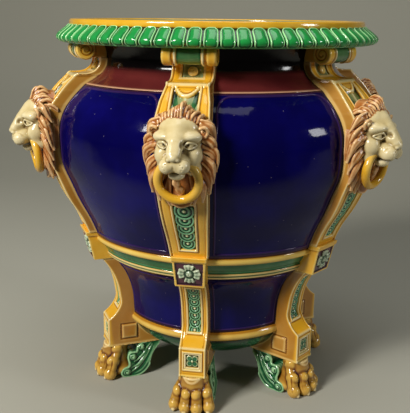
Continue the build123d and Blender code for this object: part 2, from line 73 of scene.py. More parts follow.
print("camera looks along", [round(v, 3) for v in forward])


# %% [markdown]
# Glaze colours are picked as the hex numbers that a paint program shows. Blender works in linear light, so
# one function turns them. One more function adds a node with its settings and links, which keeps every
# material below short to read.

# %% Helpers for colours and nodes
def linear(code):
    """An sRGB hex colour as the linear colour that a shader wants."""
    parts = [int(code[i:i + 2], 16) / 255 for i in (1, 3, 5)]
    return [p / 12.92 if p <= 0.04045 else ((p + 0.055) / 1.055) ** 2.4 for p in parts] + [1.0]


def add(tree, kind, settings=None, inputs=None):
    """Add a node, set its settings, and set or link its inputs."""
    node = tree.nodes.new(kind)
    for name, value in (settings or {}).items():
        setattr(node, name, value)
    for name, value in (inputs or {}).items():
        if isinstance(value, bpy.types.NodeSocket):
            tree.links.new(value, node.inputs[name])
        else:
            node.inputs[name].default_value = value
    return node


# %% [markdown]
# Lead glaze melts to a thick coloured glass. It runs off the high edges, where it stays thin and the pale
# clay shows, and gathers in the hollows, where it looks dark. Each mesh below therefore carries a number
# called relief, above 0 on ridges and below 0 in grooves, and the glaze mixes its thin, middle and pooled
# colours by it. The pooled colour is also painted shade in the hollows, and the thin colour is also a painted
# highlight on the ridges. Other numbers mark the areas that were painted with another glaze. A slow noise
# makes the coat uneven, as brushed glaze is, and a faint ripple bends its shine.

# %% A glaze from its colours
SPECK_GAP, WORN_PATCH, SLOW_WAVE, FINE_WAVE, WAVE_DEPTH = 9.0, 11.0, 18.0, 3.0, 1.2  # mm
POOLED_AND_SHADED_AT, MIDDLE_AT, THIN_AND_HIGHLIGHT_AT = 0.12, 0.46, 0.92  # places on the colour ramp


def glaze(name, areas, mottle=24.0, uneven=0.5, specks=0.0, rough=(0.09, 0.2), ripple=0.35,
          span=(-1.0, 1.0), index=1.5, coat=0.25):
    """Lead glaze brushed on and fired. areas holds (attribute, pooled, middle, thin), the ground first."""
    material = bpy.data.materials.new(name)
    material.use_nodes = True
    tree = material.node_tree
    tree.nodes.clear()
    spot = add(tree, "ShaderNodeTexCoord").outputs["Object"]
    brushed = add(tree, "ShaderNodeTexNoise", None,
                  {"Vector": spot, "Scale": 1 / (mottle * MM), "Detail": 3.0})
    relief = add(tree, "ShaderNodeAttribute", {"attribute_name": "relief"}).outputs["Fac"]
    shift = add(tree, "ShaderNodeMath", {"operation": "MULTIPLY_ADD"},
                {0: brushed.outputs["Fac"], 1: uneven, 2: -uneven / 2})
    depth = add(tree, "ShaderNodeMath", {"operation": "ADD"}, {0: relief, 1: shift.outputs[0]}).outputs[0]
    painted = None
    for attribute, pooled_and_shaded, middle, thin in areas:
        level = add(tree, "ShaderNodeMapRange", None,
                    {"Value": depth, "From Min": span[0], "From Max": span[1]})
        ramp = add(tree, "ShaderNodeValToRGB", None, {"Fac": level.outputs[0]})
        stops = ramp.color_ramp.elements
        # Painted light: the pooled stop is painted shade for the hollows as well as pooled glaze, and the
        # thin stop is a painted highlight for the ridges as well as thin glaze.
        stops[0].position, stops[0].color = POOLED_AND_SHADED_AT, linear(pooled_and_shaded)
        stops[1].position, stops[1].color = THIN_AND_HIGHLIGHT_AT, linear(thin)
        stops.new(MIDDLE_AT).color = linear(middle)
        if painted is None:
            painted = ramp.outputs["Color"]
            continue
        mask = add(tree, "ShaderNodeAttribute", {"attribute_name": attribute}).outputs["Fac"]
        painted = add(tree, "ShaderNodeMix", {"data_type": "RGBA"},
                      {0: mask, 6: painted, 7: ramp.outputs["Color"]}).outputs[2]
    if specks:
        dots = add(tree, "ShaderNodeTexVoronoi", None, {"Vector": spot, "Scale": 1 / (SPECK_GAP * MM)})
        # 0.05 of the gap to each side makes specks 0.9 mm across, coarse enough to show.
        near = add(tree, "ShaderNodeMath", {"operation": "LESS_THAN"}, {0: dots.outputs["Distance"], 1: 0.05})
        faint = add(tree, "ShaderNodeMath", {"operation": "MULTIPLY"}, {0: near.outputs[0], 1: specks})
        painted = add(tree, "ShaderNodeMix", {"data_type": "RGBA"},
                      {0: faint.outputs[0], 6: painted, 7: linear("#9A8FA0")}).outputs[2]
    worn = add(tree, "ShaderNodeTexNoise", None,
               {"Vector": spot, "Scale": 1 / (WORN_PATCH * MM), "Detail": 4.0})
    dull = add(tree, "ShaderNodeMapRange", None, {"Value": worn.outputs["Fac"], "From Min": 0.3,
                                                  "From Max": 0.75, "To Min": rough[0], "To Max": rough[1]})
    slow = add(tree, "ShaderNodeTexNoise", None,
               {"Vector": spot, "Scale": 1 / (SLOW_WAVE * MM), "Detail": 1.0})
    fine = add(tree, "ShaderNodeTexNoise", None,
               {"Vector": spot, "Scale": 1 / (FINE_WAVE * MM), "Detail": 1.0})
    height = add(tree, "ShaderNodeMath", {"operation": "MULTIPLY_ADD"},
                 {0: fine.outputs["Fac"], 1: 0.12, 2: slow.outputs["Fac"]})
    bump = add(tree, "ShaderNodeBump", None, {"Height": height.outputs[0], "Strength": ripple,
                                              "Distance": WAVE_DEPTH * MM})
    shader = add(tree, "ShaderNodeBsdfPrincipled", None,
                 {"Base Color": painted, "Roughness": dull.outputs[0], "IOR": index,
                  "Normal": bump.outputs[0], "Coat Weight": coat, "Coat Roughness": 0.05, "Coat IOR": 1.5})
    add(tree, "ShaderNodeOutputMaterial", None, {"Surface": shader.outputs[0]})
    return material


# %% [markdown]
# The colours are those of majolica: ochre, cobalt, manganese maroon, copper greens and a buff that is
# almost the clay itself. A rib carries four of them at once, so its material knows the places by name.

# %% The glazes
OCHRE = ("#A8681A", "#EBAE22", "#F5D472")
UMBER = ("#6A3C14", "#B37A2A", "#E0B86C")
CREAM = ("#C79C48", "#EBD088", "#F6E8B8")
GREEN = ("#0A2A18", "#2E6638", "#93BC7E")
INSIDE = ("inside", "#244A44", "#4E8A7C", "#A9CDBB")

# Iron ochre: honey in the hollows and straw on the edges, brown on the plain sides.
ochre_glaze = glaze("ochre lead glaze", [
    ("", *OCHRE), ("side", *UMBER), ("cream", *CREAM), ("green", *GREEN)], span=(-1.1, 1.1))
# Cobalt is so strong that even a thin coat is deep blue. It is the smoothest glaze, with a few pale specks.
cobalt_glaze = glaze("cobalt lead glaze", [
    ("", "#020120", "#060444", "#14108C"), ("line", "#34182A", "#5A343E", "#9A7470"), INSIDE],
    mottle=60, uneven=0.9, specks=0.5, rough=(0.05, 0.12), ripple=0.22, index=1.28, coat=0.0)
# Manganese with iron: almost black where it pools, red where it thins. On the neck its near black is painted
# shadow of the rim over the top of the neck.
manganese_glaze = glaze("manganese maroon lead glaze", [
    ("", "#0C0508", "#4E191C", "#8A3C34"), ("line", "#9A5A40", "#D09A74", "#ECCBA8"), INSIDE],
    mottle=40, rough=(0.08, 0.18), index=1.4, coat=0.0)
# Copper: bright green on the domes and pale where it ran off the edges of the tongues. The pale is also a
# painted highlight and the dark a painted shade.
emerald_glaze = glaze("emerald copper glaze", [("", "#04321A", "#28A44C", "#B0E8A6"), INSIDE],
                      mottle=16, uneven=0.4, span=(-0.9, 1.5), index=1.45)
# The waist's green, yellow and cream lie side by side, each of them pale on its raised edges.
waist_glaze = glaze("waist band glazes", [
    ("", "#0E3A20", "#246B3A", "#7FB08A"), ("yellow", "#B0781E", "#EECB66", "#F8EAB8"),
    ("cream", *CREAM), INSIDE])
# Iron yellow: straw on the rounded top of the lip, and honey where it gathers. The straw is also a painted
# highlight and the honey a painted shade.
lip_glaze = glaze("yellow lip glaze", [("", "#A06A16", "#E4AE2C", "#F4DC8A"), INSIDE])
# Copper green on the base, a little duller than the rest.
dish_glaze = glaze("green base glaze", [("", "#08301C", "#1C5A38", "#6FA583"), INSIDE],
                   mottle=30, rough=(0.12, 0.28))
# Copper green that pools dark round the scales and flowers, a dark that is also painted shade, with cream
# dabbed on what stands up.
copper_relief_glaze = glaze("copper green relief glaze", [
    ("", "#052A1A", "#24693E", "#84BA8E"), ("cream", *CREAM)], mottle=9, uneven=0.7)
# A dark maroon field inside an ochre edge, and grey green petals.
tile_glaze = glaze("waist block glazes", [
    ("", "#200F18", "#4A2434", "#7C4A52"), ("cream", *OCHRE), ("petal", "#2C4632", "#849A7E", "#CCD8B8")],
    mottle=12)
# A clear coat over buff clay, stained with rust on the mane: the least glossy glaze of all. Its third colour,
# dark, is painted shade in the mouth and nostrils and the colour of the pupils.
mask_glaze = glaze("buff and rust mask glaze", [
    ("", "#7C6438", "#D2BE88", "#EFE3BA"), ("mane", "#3A1A18", "#A8642A", "#EAC088"),
    ("dark", "#120B08", "#2A1A12", "#5A4330")],
    mottle=9, uneven=0.6, index=1.45, coat=0.1, rough=(0.16, 0.32))
# Golden brown, almost purple in the creases of the toes and pale on the claws.
paw_glaze = glaze("golden brown paw glaze", [
    ("", "#3A1820", "#92601C", "#DCB050"), ("claw", "#94622C", "#D8AC60", "#F2DCA4")], mottle=14)
# Copper green, dark in the folds and pale on the rims and ribs.
leaf_glaze = glaze("copper green leaf glaze", [("", "#04281A", "#185E36", "#9CCC98")], mottle=14, uneven=0.6)
print("glazes:", len(bpy.data.materials))


# %% [markdown]
# Every outline below is a short table of radius and height in millimetres. A smooth curve is drawn through
# it in the way that a potter's template is: a natural cubic spline, read off in even steps.

# %% Outlines from short tables
def smooth(points, step=1.5):
    """A smooth curve through the points, read off about a step apart."""
    points = np.array(points, float)
    gaps = np.hypot(*np.diff(points, axis=0).T)
    knots = np.concatenate([[0], np.cumsum(gaps)])
    last = len(points) - 1
    system, aim = np.eye(last + 1), np.zeros((last + 1, 2))
    for i in range(1, last):
        system[i, i - 1:i + 2] = gaps[i - 1], 2 * (gaps[i - 1] + gaps[i]), gaps[i]
        aim[i] = 6 * ((points[i + 1] - points[i]) / gaps[i] - (points[i] - points[i - 1]) / gaps[i - 1])
    bend = np.linalg.solve(system, aim)
    run = np.linspace(0, knots[-1], max(int(round(knots[-1] / step)), 2) + 1)
    i = np.clip(np.searchsorted(knots, run, side="right") - 1, 0, last - 1)
    gap, before, after = gaps[i][:, None], (run - knots[i])[:, None], (knots[i + 1] - run)[:, None]
    return (bend[i] * after ** 3 + bend[i + 1] * before ** 3) / (6 * gap) + \
        (points[i] / gap - bend[i] * gap / 6) * after + (points[i + 1] / gap - bend[i + 1] * gap / 6) * before


def outward(path):
    """The direction square to a rising outline, away from the axis."""
    step = np.gradient(path, axis=0)
    step /= np.hypot(*step.T)[:, None]
    return np.stack([step[:, 1], -step[:, 0]], axis=1)


def length_along(path):
    """Length from the start of a path to each of its points."""
    return np.concatenate([[0], np.cumsum(np.hypot(*np.diff(path, axis=0).T))])


def hump(x, centre, half):
    """A half-round ridge of height 1 across x."""
    return np.sqrt(np.clip(1 - ((x - centre) / half) ** 2, 0, 1))


def ease(x, low, high):
    """0 below low, 1 above high, and a soft step between them."""
    t = np.clip((x - low) / (high - low), 0, 1)
    return t * t * (3 - 2 * t)


# %% [markdown]
# All pieces end as plain meshes at the origin. One function makes the mesh, measures its relief and hands
# it to the frame. Relief is how far a point stands out of a smoothed copy of its own mesh, which is what
# decides where melted glaze runs to, and so also where the glazes paint shade and highlight.

# %% Faces over rings of points
def ring_faces(rows, across):
    """Faces over rows of closed rings, with both ends closed by a fan."""
    index = np.arange(rows * across).reshape(rows, across)
    ahead = np.roll(index, -1, axis=1)
    quads = np.stack([index[:-1], ahead[:-1], ahead[1:], index[1:]], axis=-1).reshape(-1, 4)
    low = np.stack([np.full(across - 2, index[0, 0]), index[0, 2:], index[0, 1:-1]], axis=1)
    high = np.stack([np.full(across - 2, index[-1, 0]), index[-1, 1:-1], index[-1, 2:]], axis=1)
    return [quads, np.concatenate([low, high])]


def outside_out(points, faces):
    """The same faces, all turned over if the shell they make is inside out."""
    volume = 0.0
    for f in faces:
        for k in range(1, f.shape[1] - 1):
            a, b, c = points[f[:, 0]], points[f[:, k]], points[f[:, k + 1]]
            volume += (a * np.cross(b, c)).sum()
    return faces if volume > 0 else [f[:, ::-1] for f in faces]


# %% Relief from the shape
RIBS, FIRST_RIB, RIB_STEP = 6, -90, 60  # degrees round from +X
FULL_RELIEF = 0.16  # share of the reach at which a point counts as fully raised or sunk


def relief_of(mesh, reach):
    """Height of each point over the same mesh with its detail up to reach (mm) smoothed away, as -1 to 1."""
    count = len(mesh.vertices)
    points = np.empty(count * 3)
    mesh.vertices.foreach_get("co", points)
    points = points.reshape(-1, 3) / MM
    edges = np.empty(len(mesh.edges) * 2, int)
    mesh.edges.foreach_get("vertices", edges)
    a, b = edges.reshape(-1, 2).T
    normals = np.empty(count * 3)
    mesh.vertex_normals.foreach_get("vector", normals)
    normals = normals.reshape(-1, 3)
    length = np.median(np.linalg.norm(points[a] - points[b], axis=1))
    degree = np.bincount(a, minlength=count) + np.bincount(b, minlength=count)
    flat = points.copy()
    for _ in range(int(np.clip((reach / length) ** 2, 2, 60))):
        total = np.stack([np.bincount(a, flat[b, k], count) + np.bincount(b, flat[a, k], count)
                          for k in range(3)], axis=1)
        flat = 0.5 * flat + 0.5 * total / np.maximum(degree, 1)[:, None]
    stand = ((points - flat) * normals).sum(axis=1)
    return np.clip(stand / (FULL_RELIEF * reach), -1, 1)


# %% From points to a mesh
def mark(mesh, label, values):
    """Store a named number for each point of a mesh."""
    mesh.attributes.new(label, "FLOAT", "POINT").data.foreach_set("value", np.asarray(values, float))


def make_mesh(name, points, faces, masks=None):
    """A mesh from points in mm, faces as arrays of corners, and named numbers for each point."""
    mesh = bpy.data.meshes.new(name)
    mesh.vertices.add(len(points))
    mesh.vertices.foreach_set("co", np.ascontiguousarray(points, float).ravel() * MM)
    corners = np.concatenate([f.ravel() for f in faces])
    starts, at = [], 0
    for f in faces:
        starts.append(at + np.arange(len(f)) * f.shape[1])
        at += f.size
    mesh.loops.add(len(corners))
    mesh.loops.foreach_set("vertex_index", corners)
    mesh.polygons.add(sum(len(f) for f in faces))
    mesh.polygons.foreach_set("loop_start", np.concatenate(starts))
    mesh.update(calc_edges=True)
    mesh.validate()
    for label, values in (masks or {}).items():
        mark(mesh, label, values)
    return mesh


# %% A finished piece, once or on all six ribs
def place(name, mesh, material, slot, nodes, reach=4.0):
    """Finish a piece: its relief, soft shading, glaze, body and the CAD nodes that it stands for."""
    if "relief" not in mesh.attributes:
        mark(mesh, "relief", relief_of(mesh, reach))
    mesh.materials.clear()
    mesh.materials.append(material)
    mesh.polygons.foreach_set("use_smooth", np.ones(len(mesh.polygons), bool))
    piece = bpy.data.objects.new(name, mesh)
    bpy.context.scene.collection.objects.link(piece)
    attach(piece, "root")
    if nodes:
        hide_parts(*nodes)


def place_on_ribs(name, points, faces, masks, material, slot, node, reach=4.0):
    """The same piece on all six ribs, drawn on +X and turned to its place."""
    for k in range(RIBS):
        turn = math.radians(FIRST_RIB + RIB_STEP * k)
        along, across = math.cos(turn), math.sin(turn)
        spin = np.array([[along, across, 0], [-across, along, 0], [0, 0, 1]])
        mesh = make_mesh(f"{name}_{k + 1}", points @ spin, faces, masks)
        place(f"{name}_{k + 1}", mesh, material, slot, [f"{node}_{k + 1}"], reach)
    print(name, "x6:", sum(len(f) for f in faces), "faces each")


# %% [markdown]
# Two Geometry Nodes trees do the work that follows a rule. The first is the potter's wheel: it sweeps a
# closed outline round the axis. The second repeats a pressed piece at even steps round the axis, as the
# modeller did with each mould. Both end in Realize Instances and Set Material, and the result is read back
# as a plain mesh.

# %% The start and the end of a tree
def new_tree(name, sockets):
    tree = bpy.data.node_groups.new(name, "GeometryNodeTree")
    tree.interface.new_socket("Geometry", in_out="INPUT", socket_type="NodeSocketGeometry")
    for label, kind in sockets:
        tree.interface.new_socket(label, in_out="INPUT", socket_type=kind)
    tree.interface.new_socket("Geometry", in_out="OUTPUT", socket_type="NodeSocketGeometry")
    return tree, add(tree, "NodeGroupInput").outputs


def close_tree(tree, shape, material):
    real = add(tree, "GeometryNodeRealizeInstances", None, {"Geometry": shape})
    painted = add(tree, "GeometryNodeSetMaterial", None, {"Geometry": real.outputs[0], "Material": material})
    add(tree, "NodeGroupOutput", None, {"Geometry": painted.outputs[0]})


# %% The wheel
WHEEL_RADIUS = 0.1
wheel, given = new_tree("turn on the wheel", [("Steps Round", "NodeSocketInt"),
                                              ("Glaze", "NodeSocketMaterial")])
ring = add(wheel, "GeometryNodeCurvePrimitiveCircle", None,
           {"Resolution": given["Steps Round"], "Radius": WHEEL_RADIUS})
upright_ring = add(wheel, "GeometryNodeSetCurveNormal", {"mode": "Z_UP"}, {"Curve": ring.outputs[0]})
template = add(wheel, "GeometryNodeMeshToCurve", None, {"Mesh": given["Geometry"]})
swept = add(wheel, "GeometryNodeCurveToMesh", None, {"Curve": upright_ring.outputs[0],
                                                    "Profile Curve": template.outputs[0]})
close_tree(wheel, swept.outputs[0], given["Glaze"])

# %% The round of moulds
REPEAT_INPUTS = [("Copies", "NodeSocketInt"), ("First Turn", "NodeSocketFloat"),
                 ("Glaze", "NodeSocketMaterial")]


def repeat_round(tree, given, shape):
    """End a tree with copies of a shape at even steps round the axis."""
    marks = add(tree, "GeometryNodeMeshLine", None, {"Count": given["Copies"], "Offset": (0, 0, 0)})
    share = add(tree, "ShaderNodeMath", {"operation": "DIVIDE"}, {0: math.tau, 1: given["Copies"]})
    number = add(tree, "GeometryNodeInputIndex")
    angle = add(tree, "ShaderNodeMath", {"operation": "MULTIPLY_ADD"},
                {0: number.outputs[0], 1: share.outputs[0], 2: given["First Turn"]})
    about_axis = add(tree, "ShaderNodeCombineXYZ", None, {"Z": angle.outputs[0]})
    copies = add(tree, "GeometryNodeInstanceOnPoints", None, {
        "Points": marks.outputs[0], "Instance": shape, "Rotation": about_axis.outputs[0]})
    close_tree(tree, copies.outputs[0], given["Glaze"])


moulds, given = new_tree("repeat round the axis", REPEAT_INPUTS)
repeat_round(moulds, given, given["Geometry"])


# %% Through a tree and back to a plain mesh
def through(tree, mesh, values):
    """Run a mesh through a node tree and return the plain mesh that comes out."""
    carrier = bpy.data.objects.new("carrier", mesh)
    bpy.context.scene.collection.objects.link(carrier)
    modifier = carrier.modifiers.new("tree", "NODES")
    modifier.node_group = tree
    for item in tree.interface.items_tree:
        if item.in_out == "INPUT" and item.name in values:
            modifier[item.identifier] = values[item.name]
    seen = carrier.evaluated_get(bpy.context.evaluated_depsgraph_get())
    result = bpy.data.meshes.new_from_object(seen)
    bpy.data.objects.remove(carrier)
    return result


def turned_mesh(name, outline, material, steps=360):
    """A closed outline of radius and height in mm, turned on the wheel."""
    outline = np.array(outline)
    doubled = np.hypot(*(outline - np.roll(outline, 1, axis=0)).T) <= 0.01
    outline = outline[~doubled]
    flat = np.stack([outline[:, 0] - WHEEL_RADIUS / MM, -outline[:, 1], np.zeros(len(outline))], axis=1)
    template_mesh = bpy.data.meshes.new(name)
    template_mesh.from_pydata(flat * MM, [(i, (i + 1) % len(flat)) for i in range(len(flat))], [])
    mesh = through(wheel, template_mesh, {"Steps Round": steps, "Glaze": material})
    mesh.name = name
    return mesh


def points_of(mesh):
    """A mesh's points in mm, as radius, height and turn from the +X axis."""
    co = np.empty(len(mesh.vertices) * 3)
    mesh.vertices.foreach_get("co", co)
    x, y, z = co.reshape(-1, 3).T / MM
    return np.hypot(x, y), z, np.arctan2(y, x)


# %% [markdown]
# The vessel was turned or jiggered in sections. The outline runs from the small base up through the foot,
# the lower bowl, the waist mouldings, the full belly and the hollow neck. Each section is its own ring of
# wall, so it is turned as a closed outline: outside face, seat, inside face, seat. The inside carries a pale
# turquoise glaze, as most such pots do, though the photograph doesn't show it.

# %% The vessel's outline
BASE = [(52, 39), (67.7, 40.4), (84.3, 48.2), (93.8, 56.8), (99.5, 66)]
FOOT = [(99.5, 66), (101.5, 77)]
LOWER = [(101.5, 77), (102, 87.5), (103.3, 102.9), (107.6, 119), (115.3, 134.4), (127, 147)]
WAIST = [(127, 147), (130.6, 153.5), (137, 165), (141.5, 173)]
BELLY = [(141.5, 173), (151.2, 195.7), (161.4, 215.2), (170.9, 236.9), (178.2, 255.4), (180.5, 276),
         (178.5, 301.2), (173, 313.2), (162.5, 325.8), (151.5, 336)]
NECK = [(151.5, 336), (143, 340.4), (135.4, 345.5), (130.6, 351.4), (128.5, 358), (129.2, 367.5), (132, 377)]
belly_line, lower_line, neck_line, base_line = smooth(BELLY), smooth(LOWER), smooth(NECK), smooth(BASE)
outside = np.concatenate([base_line, [FOOT[1]], lower_line[1:], WAIST[1:], belly_line[1:], neck_line[1:]])


def wall_radius(height):
    """Radius of the vessel's outside at a height."""
    return np.interp(height, outside[:, 1], outside[:, 0])


print("outside outline:", len(outside), "points, widest", round(outside[:, 0].max(), 1), "mm")


# %% Turned sections
def rounded_face(low, high, bulge):
    """A half-round face between two edges."""
    low, high = np.array(low, float), np.array(high, float)
    run = np.linspace(0, 1, 13)[:, None]
    side = np.array([high[1] - low[1], low[0] - high[0]])
    return low + (high - low) * run + side / np.hypot(*side) * bulge * 4 * run * (1 - run)


INNER = np.array([
    (51.2, 48), (65.2, 49), (79.5, 55.8), (87, 62.7), (91.1, 69.2), (92.6, 78), (93, 88.1), (94.4, 104.5),
    (99.2, 122.2), (107.9, 139.5), (120, 152.6), (122.8, 157.9), (129.2, 169.4), (133.3, 176.8),
    (143.1, 199.5), (153.3, 219.1), (162.6, 240.3), (169.4, 257.5), (171.5, 276.1), (169.6, 299.4),
    (165.4, 308.3), (156, 319.6), (146.1, 328.8), (138.4, 332.6), (129.4, 338.7), (122.7, 347.1),
    (119.5, 357.2), (120.3, 369.1), (123.4, 379.5)])
INSIDE_FROM = (4.5, 6.5)  # mm under the outside face, where the inside's glaze takes over
SECTION_SLOTS = {"upper_bowl": "blue_glaze", "lower_bowl": "blue_glaze", "neck": "neck_glaze",
                 "foot_band": "yellow_glaze", "waist_moulding": "yellow_glaze", "waist_band": "green_glaze",
                 "waist_fillet": "cream_glaze"}


def section(name, face, first, last, material, marks=None, steps=360, reach=5.0):
    """Turn one section of the vessel and mark its glazes. first and last count into the inside outline."""
    inside = INNER[first:last + 1][::-1]
    inside = smooth(inside, 2.5) if len(inside) > 2 else inside
    mesh = turned_mesh(name, np.concatenate([face, inside]), material, steps)
    radius, height, turn = points_of(mesh)
    mark(mesh, "inside", ease(wall_radius(height) - radius, *INSIDE_FROM))
    for label, values in (marks(radius, height, turn) if marks else {}).items():
        mark(mesh, label, values)
    place(name + "_glazed", mesh, material, SECTION_SLOTS[name], [name], reach)
    print(name, len(mesh.polygons), "faces")


# %% Foot, bowls and neck
section("foot_band", rounded_face(*FOOT, 3.6), 4, 5, waist_glaze, lambda r, z, t: {"yellow": np.ones(len(r))})
section("lower_bowl", lower_line, 5, 10, cobalt_glaze,
        lambda r, z, t: {"line": np.maximum(1 - ease(z, 78.0, 80.5), ease(z, 145.0, 147.0))})
section("upper_bowl", belly_line, 13, 22, cobalt_glaze,
        lambda r, z, t: {"line": np.maximum(1 - ease(z, 173.5, 177.5), ease(z, 333.9, 335.6))})
# The neck's relief is set by height instead of measured: 0.1 below 350 mm, falling to -1.2 above 358 mm. So
# the top of the neck takes the near black pooled colour, which is painted shadow of the overhanging rim.
section("neck", neck_line, 22, 28, manganese_glaze,
        lambda r, z, t: {"line": 1 - ease(z, 336.2, 337.5), "relief": 0.1 - 1.3 * ease(z, 350, 358)})


# %% [markdown]
# At the waist a yellow half-round sits over a green band and a double cream line. The three were painted side
# by side, so the glazes meet along the edges of the mouldings. The band is sunk a little between them.

# %% Waist mouldings and base
def between(low, high, offsets):
    """Points from low to high, each with a share of the way and a stand in mm."""
    low, high = np.array(low, float), np.array(high, float)
    side = np.array([high[1] - low[1], low[0] - high[0]]) / np.hypot(*(high - low))
    return np.array([low + (high - low) * share + side * stand for share, stand in offsets])


def two_lines(share):
    """Stand of the double line over the fillet's height."""
    return 0.15 + 0.85 * max(hump(share, 0.24, 0.22), 1.15 * hump(share, 0.74, 0.24))


def line_colour(radius, height, turn):
    share = (height - WAIST[0][1]) / (WAIST[1][1] - WAIST[0][1])
    return {"cream": 1 - hump(share, 0.49, 0.19)}


double_line = [(i / 24, two_lines(i / 24)) for i in range(25)]
section("waist_fillet", between(WAIST[0], WAIST[1], double_line), 10, 11, waist_glaze, line_colour, reach=2.0)
band = [(0, 0.2), (0.05, -0.6), (0.1, -0.9), (0.3, -0.6), (0.5, -0.5), (0.7, -0.6), (0.9, -0.9), (0.95, -0.5),
        (1, 0.3)]
section("waist_band", smooth(between(WAIST[1], WAIST[2], band), 0.6), 11, 12, waist_glaze, reach=2.5)
section("waist_moulding", rounded_face(WAIST[2], WAIST[3], 2.9), 12, 13, waist_glaze,
        lambda r, z, t: {"yellow": np.ones(len(r))}, reach=2.5)

# %% The dished base
FLOOR, UNDERSIDE, HOLLOW = 48, 39, 1.2  # heights of the floor and the underside, and how far that is dished
floor_line = [(r, FLOOR) for r in np.linspace(51.2, 1.2, 20)]
under_line = [(r, UNDERSIDE + HOLLOW * (1 - (r / 52) ** 2)) for r in np.linspace(1.2, 50, 20)]
dish = np.concatenate([under_line, base_line, INNER[4:0:-1], floor_line])
dish_mesh = turned_mesh("base_dish", dish, dish_glaze, 240)
radius, height, _ = points_of(dish_mesh)
mark(dish_mesh, "inside", ease(height - np.interp(radius, base_line[:, 0], base_line[:, 1]), *INSIDE_FROM))
place("base_dish_glazed", dish_mesh, dish_glaze, "green_glaze", ["base_dish"], 5.0)
print("base_dish", len(dish_mesh.polygons), "faces")

# %% [markdown]
# The rim is an overhanging round with 72 gadroons, the upright tongues under the yellow lip. Each has a pale
# raised edge where the green ran off, also a painted highlight, and a bright domed middle. One tongue is
# built as rings inside a rounded outline, laid on the rim's curve, and repeated round the axis over a dark,
# sunk ground, whose dark is painted shade as well as pooled glaze.

# %% The rim's ground
RIM = [(165, 377), (168.4, 377.2), (172.5, 381.5), (169.1, 386.5), (160.5, 393.5)]
RIM_RADIUS, MOUTH_RADIUS, LIP_SEAT, LIP_TOP = 172.5, 147.5, 393.5, 400
TONGUES, TONGUE_STAND = 72, 2.0
rim_line = smooth(RIM, 1.0)
ground = rim_line - outward(rim_line) * TONGUE_STAND
under_edge = [(132, 377), (163.5, 377), (164.6, 376.2), (166.2, 376.4), (166.8, 377.4)]
throat = smooth([(MOUTH_RADIUS, LIP_SEAT), (130.4, 384.8), (123.4, 379.5)], 2.5)
rim_body = np.concatenate([under_edge, ground[3:-2], [(158.6, 393.4), (MOUTH_RADIUS, LIP_SEAT)], throat[1:]])
rim_mesh = turned_mesh("rim_ground", rim_body, emerald_glaze, 432)
radius, height, _ = points_of(rim_mesh)
under_bead = (height < 377.6) & (radius > 163)
mark(rim_mesh, "inside", ease(MOUTH_RADIUS - radius, 0.0, 2.0) * ease(height, 378, 380))
# The ground is given relief -0.75 all over, the dark pooled green: painted shade under the overhang and in
# the gaps between the tongues, where glaze also pools. The bead under the edge is given 0.55, pale.
mark(rim_mesh, "relief", np.where(under_bead, 0.55, -0.75))
print("rim ground:", len(rim_mesh.polygons), "faces")

# %% One gadroon tongue
TONGUE_HALF, TONGUE_CORNER = 6.85, 5.2
tongue_line = smooth(RIM + [(158.9, 395.3)], 1.0)
normal = outward(tongue_line)
tongue_seat = tongue_line - normal * TONGUE_STAND
run = length_along(tongue_line)
tongue_low, tongue_high = 2.4, run[-1] - 0.2
half = np.array([TONGUE_HALF, (tongue_high - tongue_low) / 2])
around = np.linspace(0, math.tau, 44, endpoint=False)
edge = np.stack([np.sign(np.cos(around)) * np.abs(np.cos(around)) ** 0.62 * half[0],
                 np.sign(np.sin(around)) * np.abs(np.sin(around)) ** 0.5 * half[1]], axis=1)
rings, heights, thickness = [], [], []
for scale in (1.0, 1.0, 0.985, 0.955, 0.92, 0.89, 0.85, 0.80, 0.73, 0.6, 0.4, 0.2, 0.02):
    flat = edge * scale
    inner = np.maximum(np.abs(flat) - (half - TONGUE_CORNER), 0)
    from_corner = TONGUE_CORNER - np.hypot(*inner.T)
    inset_by = np.where((inner == 0).all(axis=1), np.min(half - np.abs(flat), axis=1), from_corner)
    rounded = np.clip((inset_by + 0.15) / 1.1, 0, 1)
    stand = TONGUE_STAND * np.sqrt(np.clip(1 - (1 - rounded) ** 2, 0, 1))
    line, groove, dome = hump(inset_by, 0.9, 0.6), hump(inset_by, 1.9, 0.6), ease(inset_by, 1.8, 6.0)
    stand += 0.22 * line - 0.30 * groove + 0.6 * dome
    thickness.append(1.25 * hump(inset_by, 0.75, 0.75) - 0.45 * hump(inset_by, 2.0, 0.9) + 0.02)
    rings.append(flat)
    heights.append(stand if len(rings) > 1 else np.full(len(around), -0.4))

# %% The tongue laid on the rim and repeated
flat, stand = np.array(rings), np.array(heights)
along = flat[..., 1] + (tongue_low + tongue_high) / 2
spot = [np.interp(along, run, tongue_seat[:, k]) + np.interp(along, run, normal[:, k]) * stand
        for k in (0, 1)]
swing = flat[..., 0] / RIM_RADIUS
tongue = np.stack([spot[0] * np.cos(swing), spot[0] * np.sin(swing), spot[1]], axis=-1)
tongue = tongue.reshape(-1, 3)
tongue_faces = outside_out(tongue, ring_faces(len(rings), len(around)))
tongue_mesh = make_mesh("tongue", tongue, tongue_faces)
mark(tongue_mesh, "relief", np.where(np.arange(len(tongue)) < len(around), -0.9, np.concatenate(thickness)))
tongue_round = through(moulds, tongue_mesh, {
    "Copies": TONGUES, "First Turn": math.radians(2.5), "Glaze": emerald_glaze})


def joined(name, meshes):
    """Several meshes as one."""
    whole = bmesh.new()
    for mesh in meshes:
        whole.from_mesh(mesh)
    result = bpy.data.meshes.new(name)
    whole.to_mesh(result)
    whole.free()
    return result


rim_and_tongues = joined("gadrooned_rim", [rim_mesh, tongue_round])
place("gadrooned_rim", rim_and_tongues, emerald_glaze, "gadroon_glaze", ["rim_gadroons"])
print("gadroons:", TONGUES, "tongues of", len(tongue), "points")

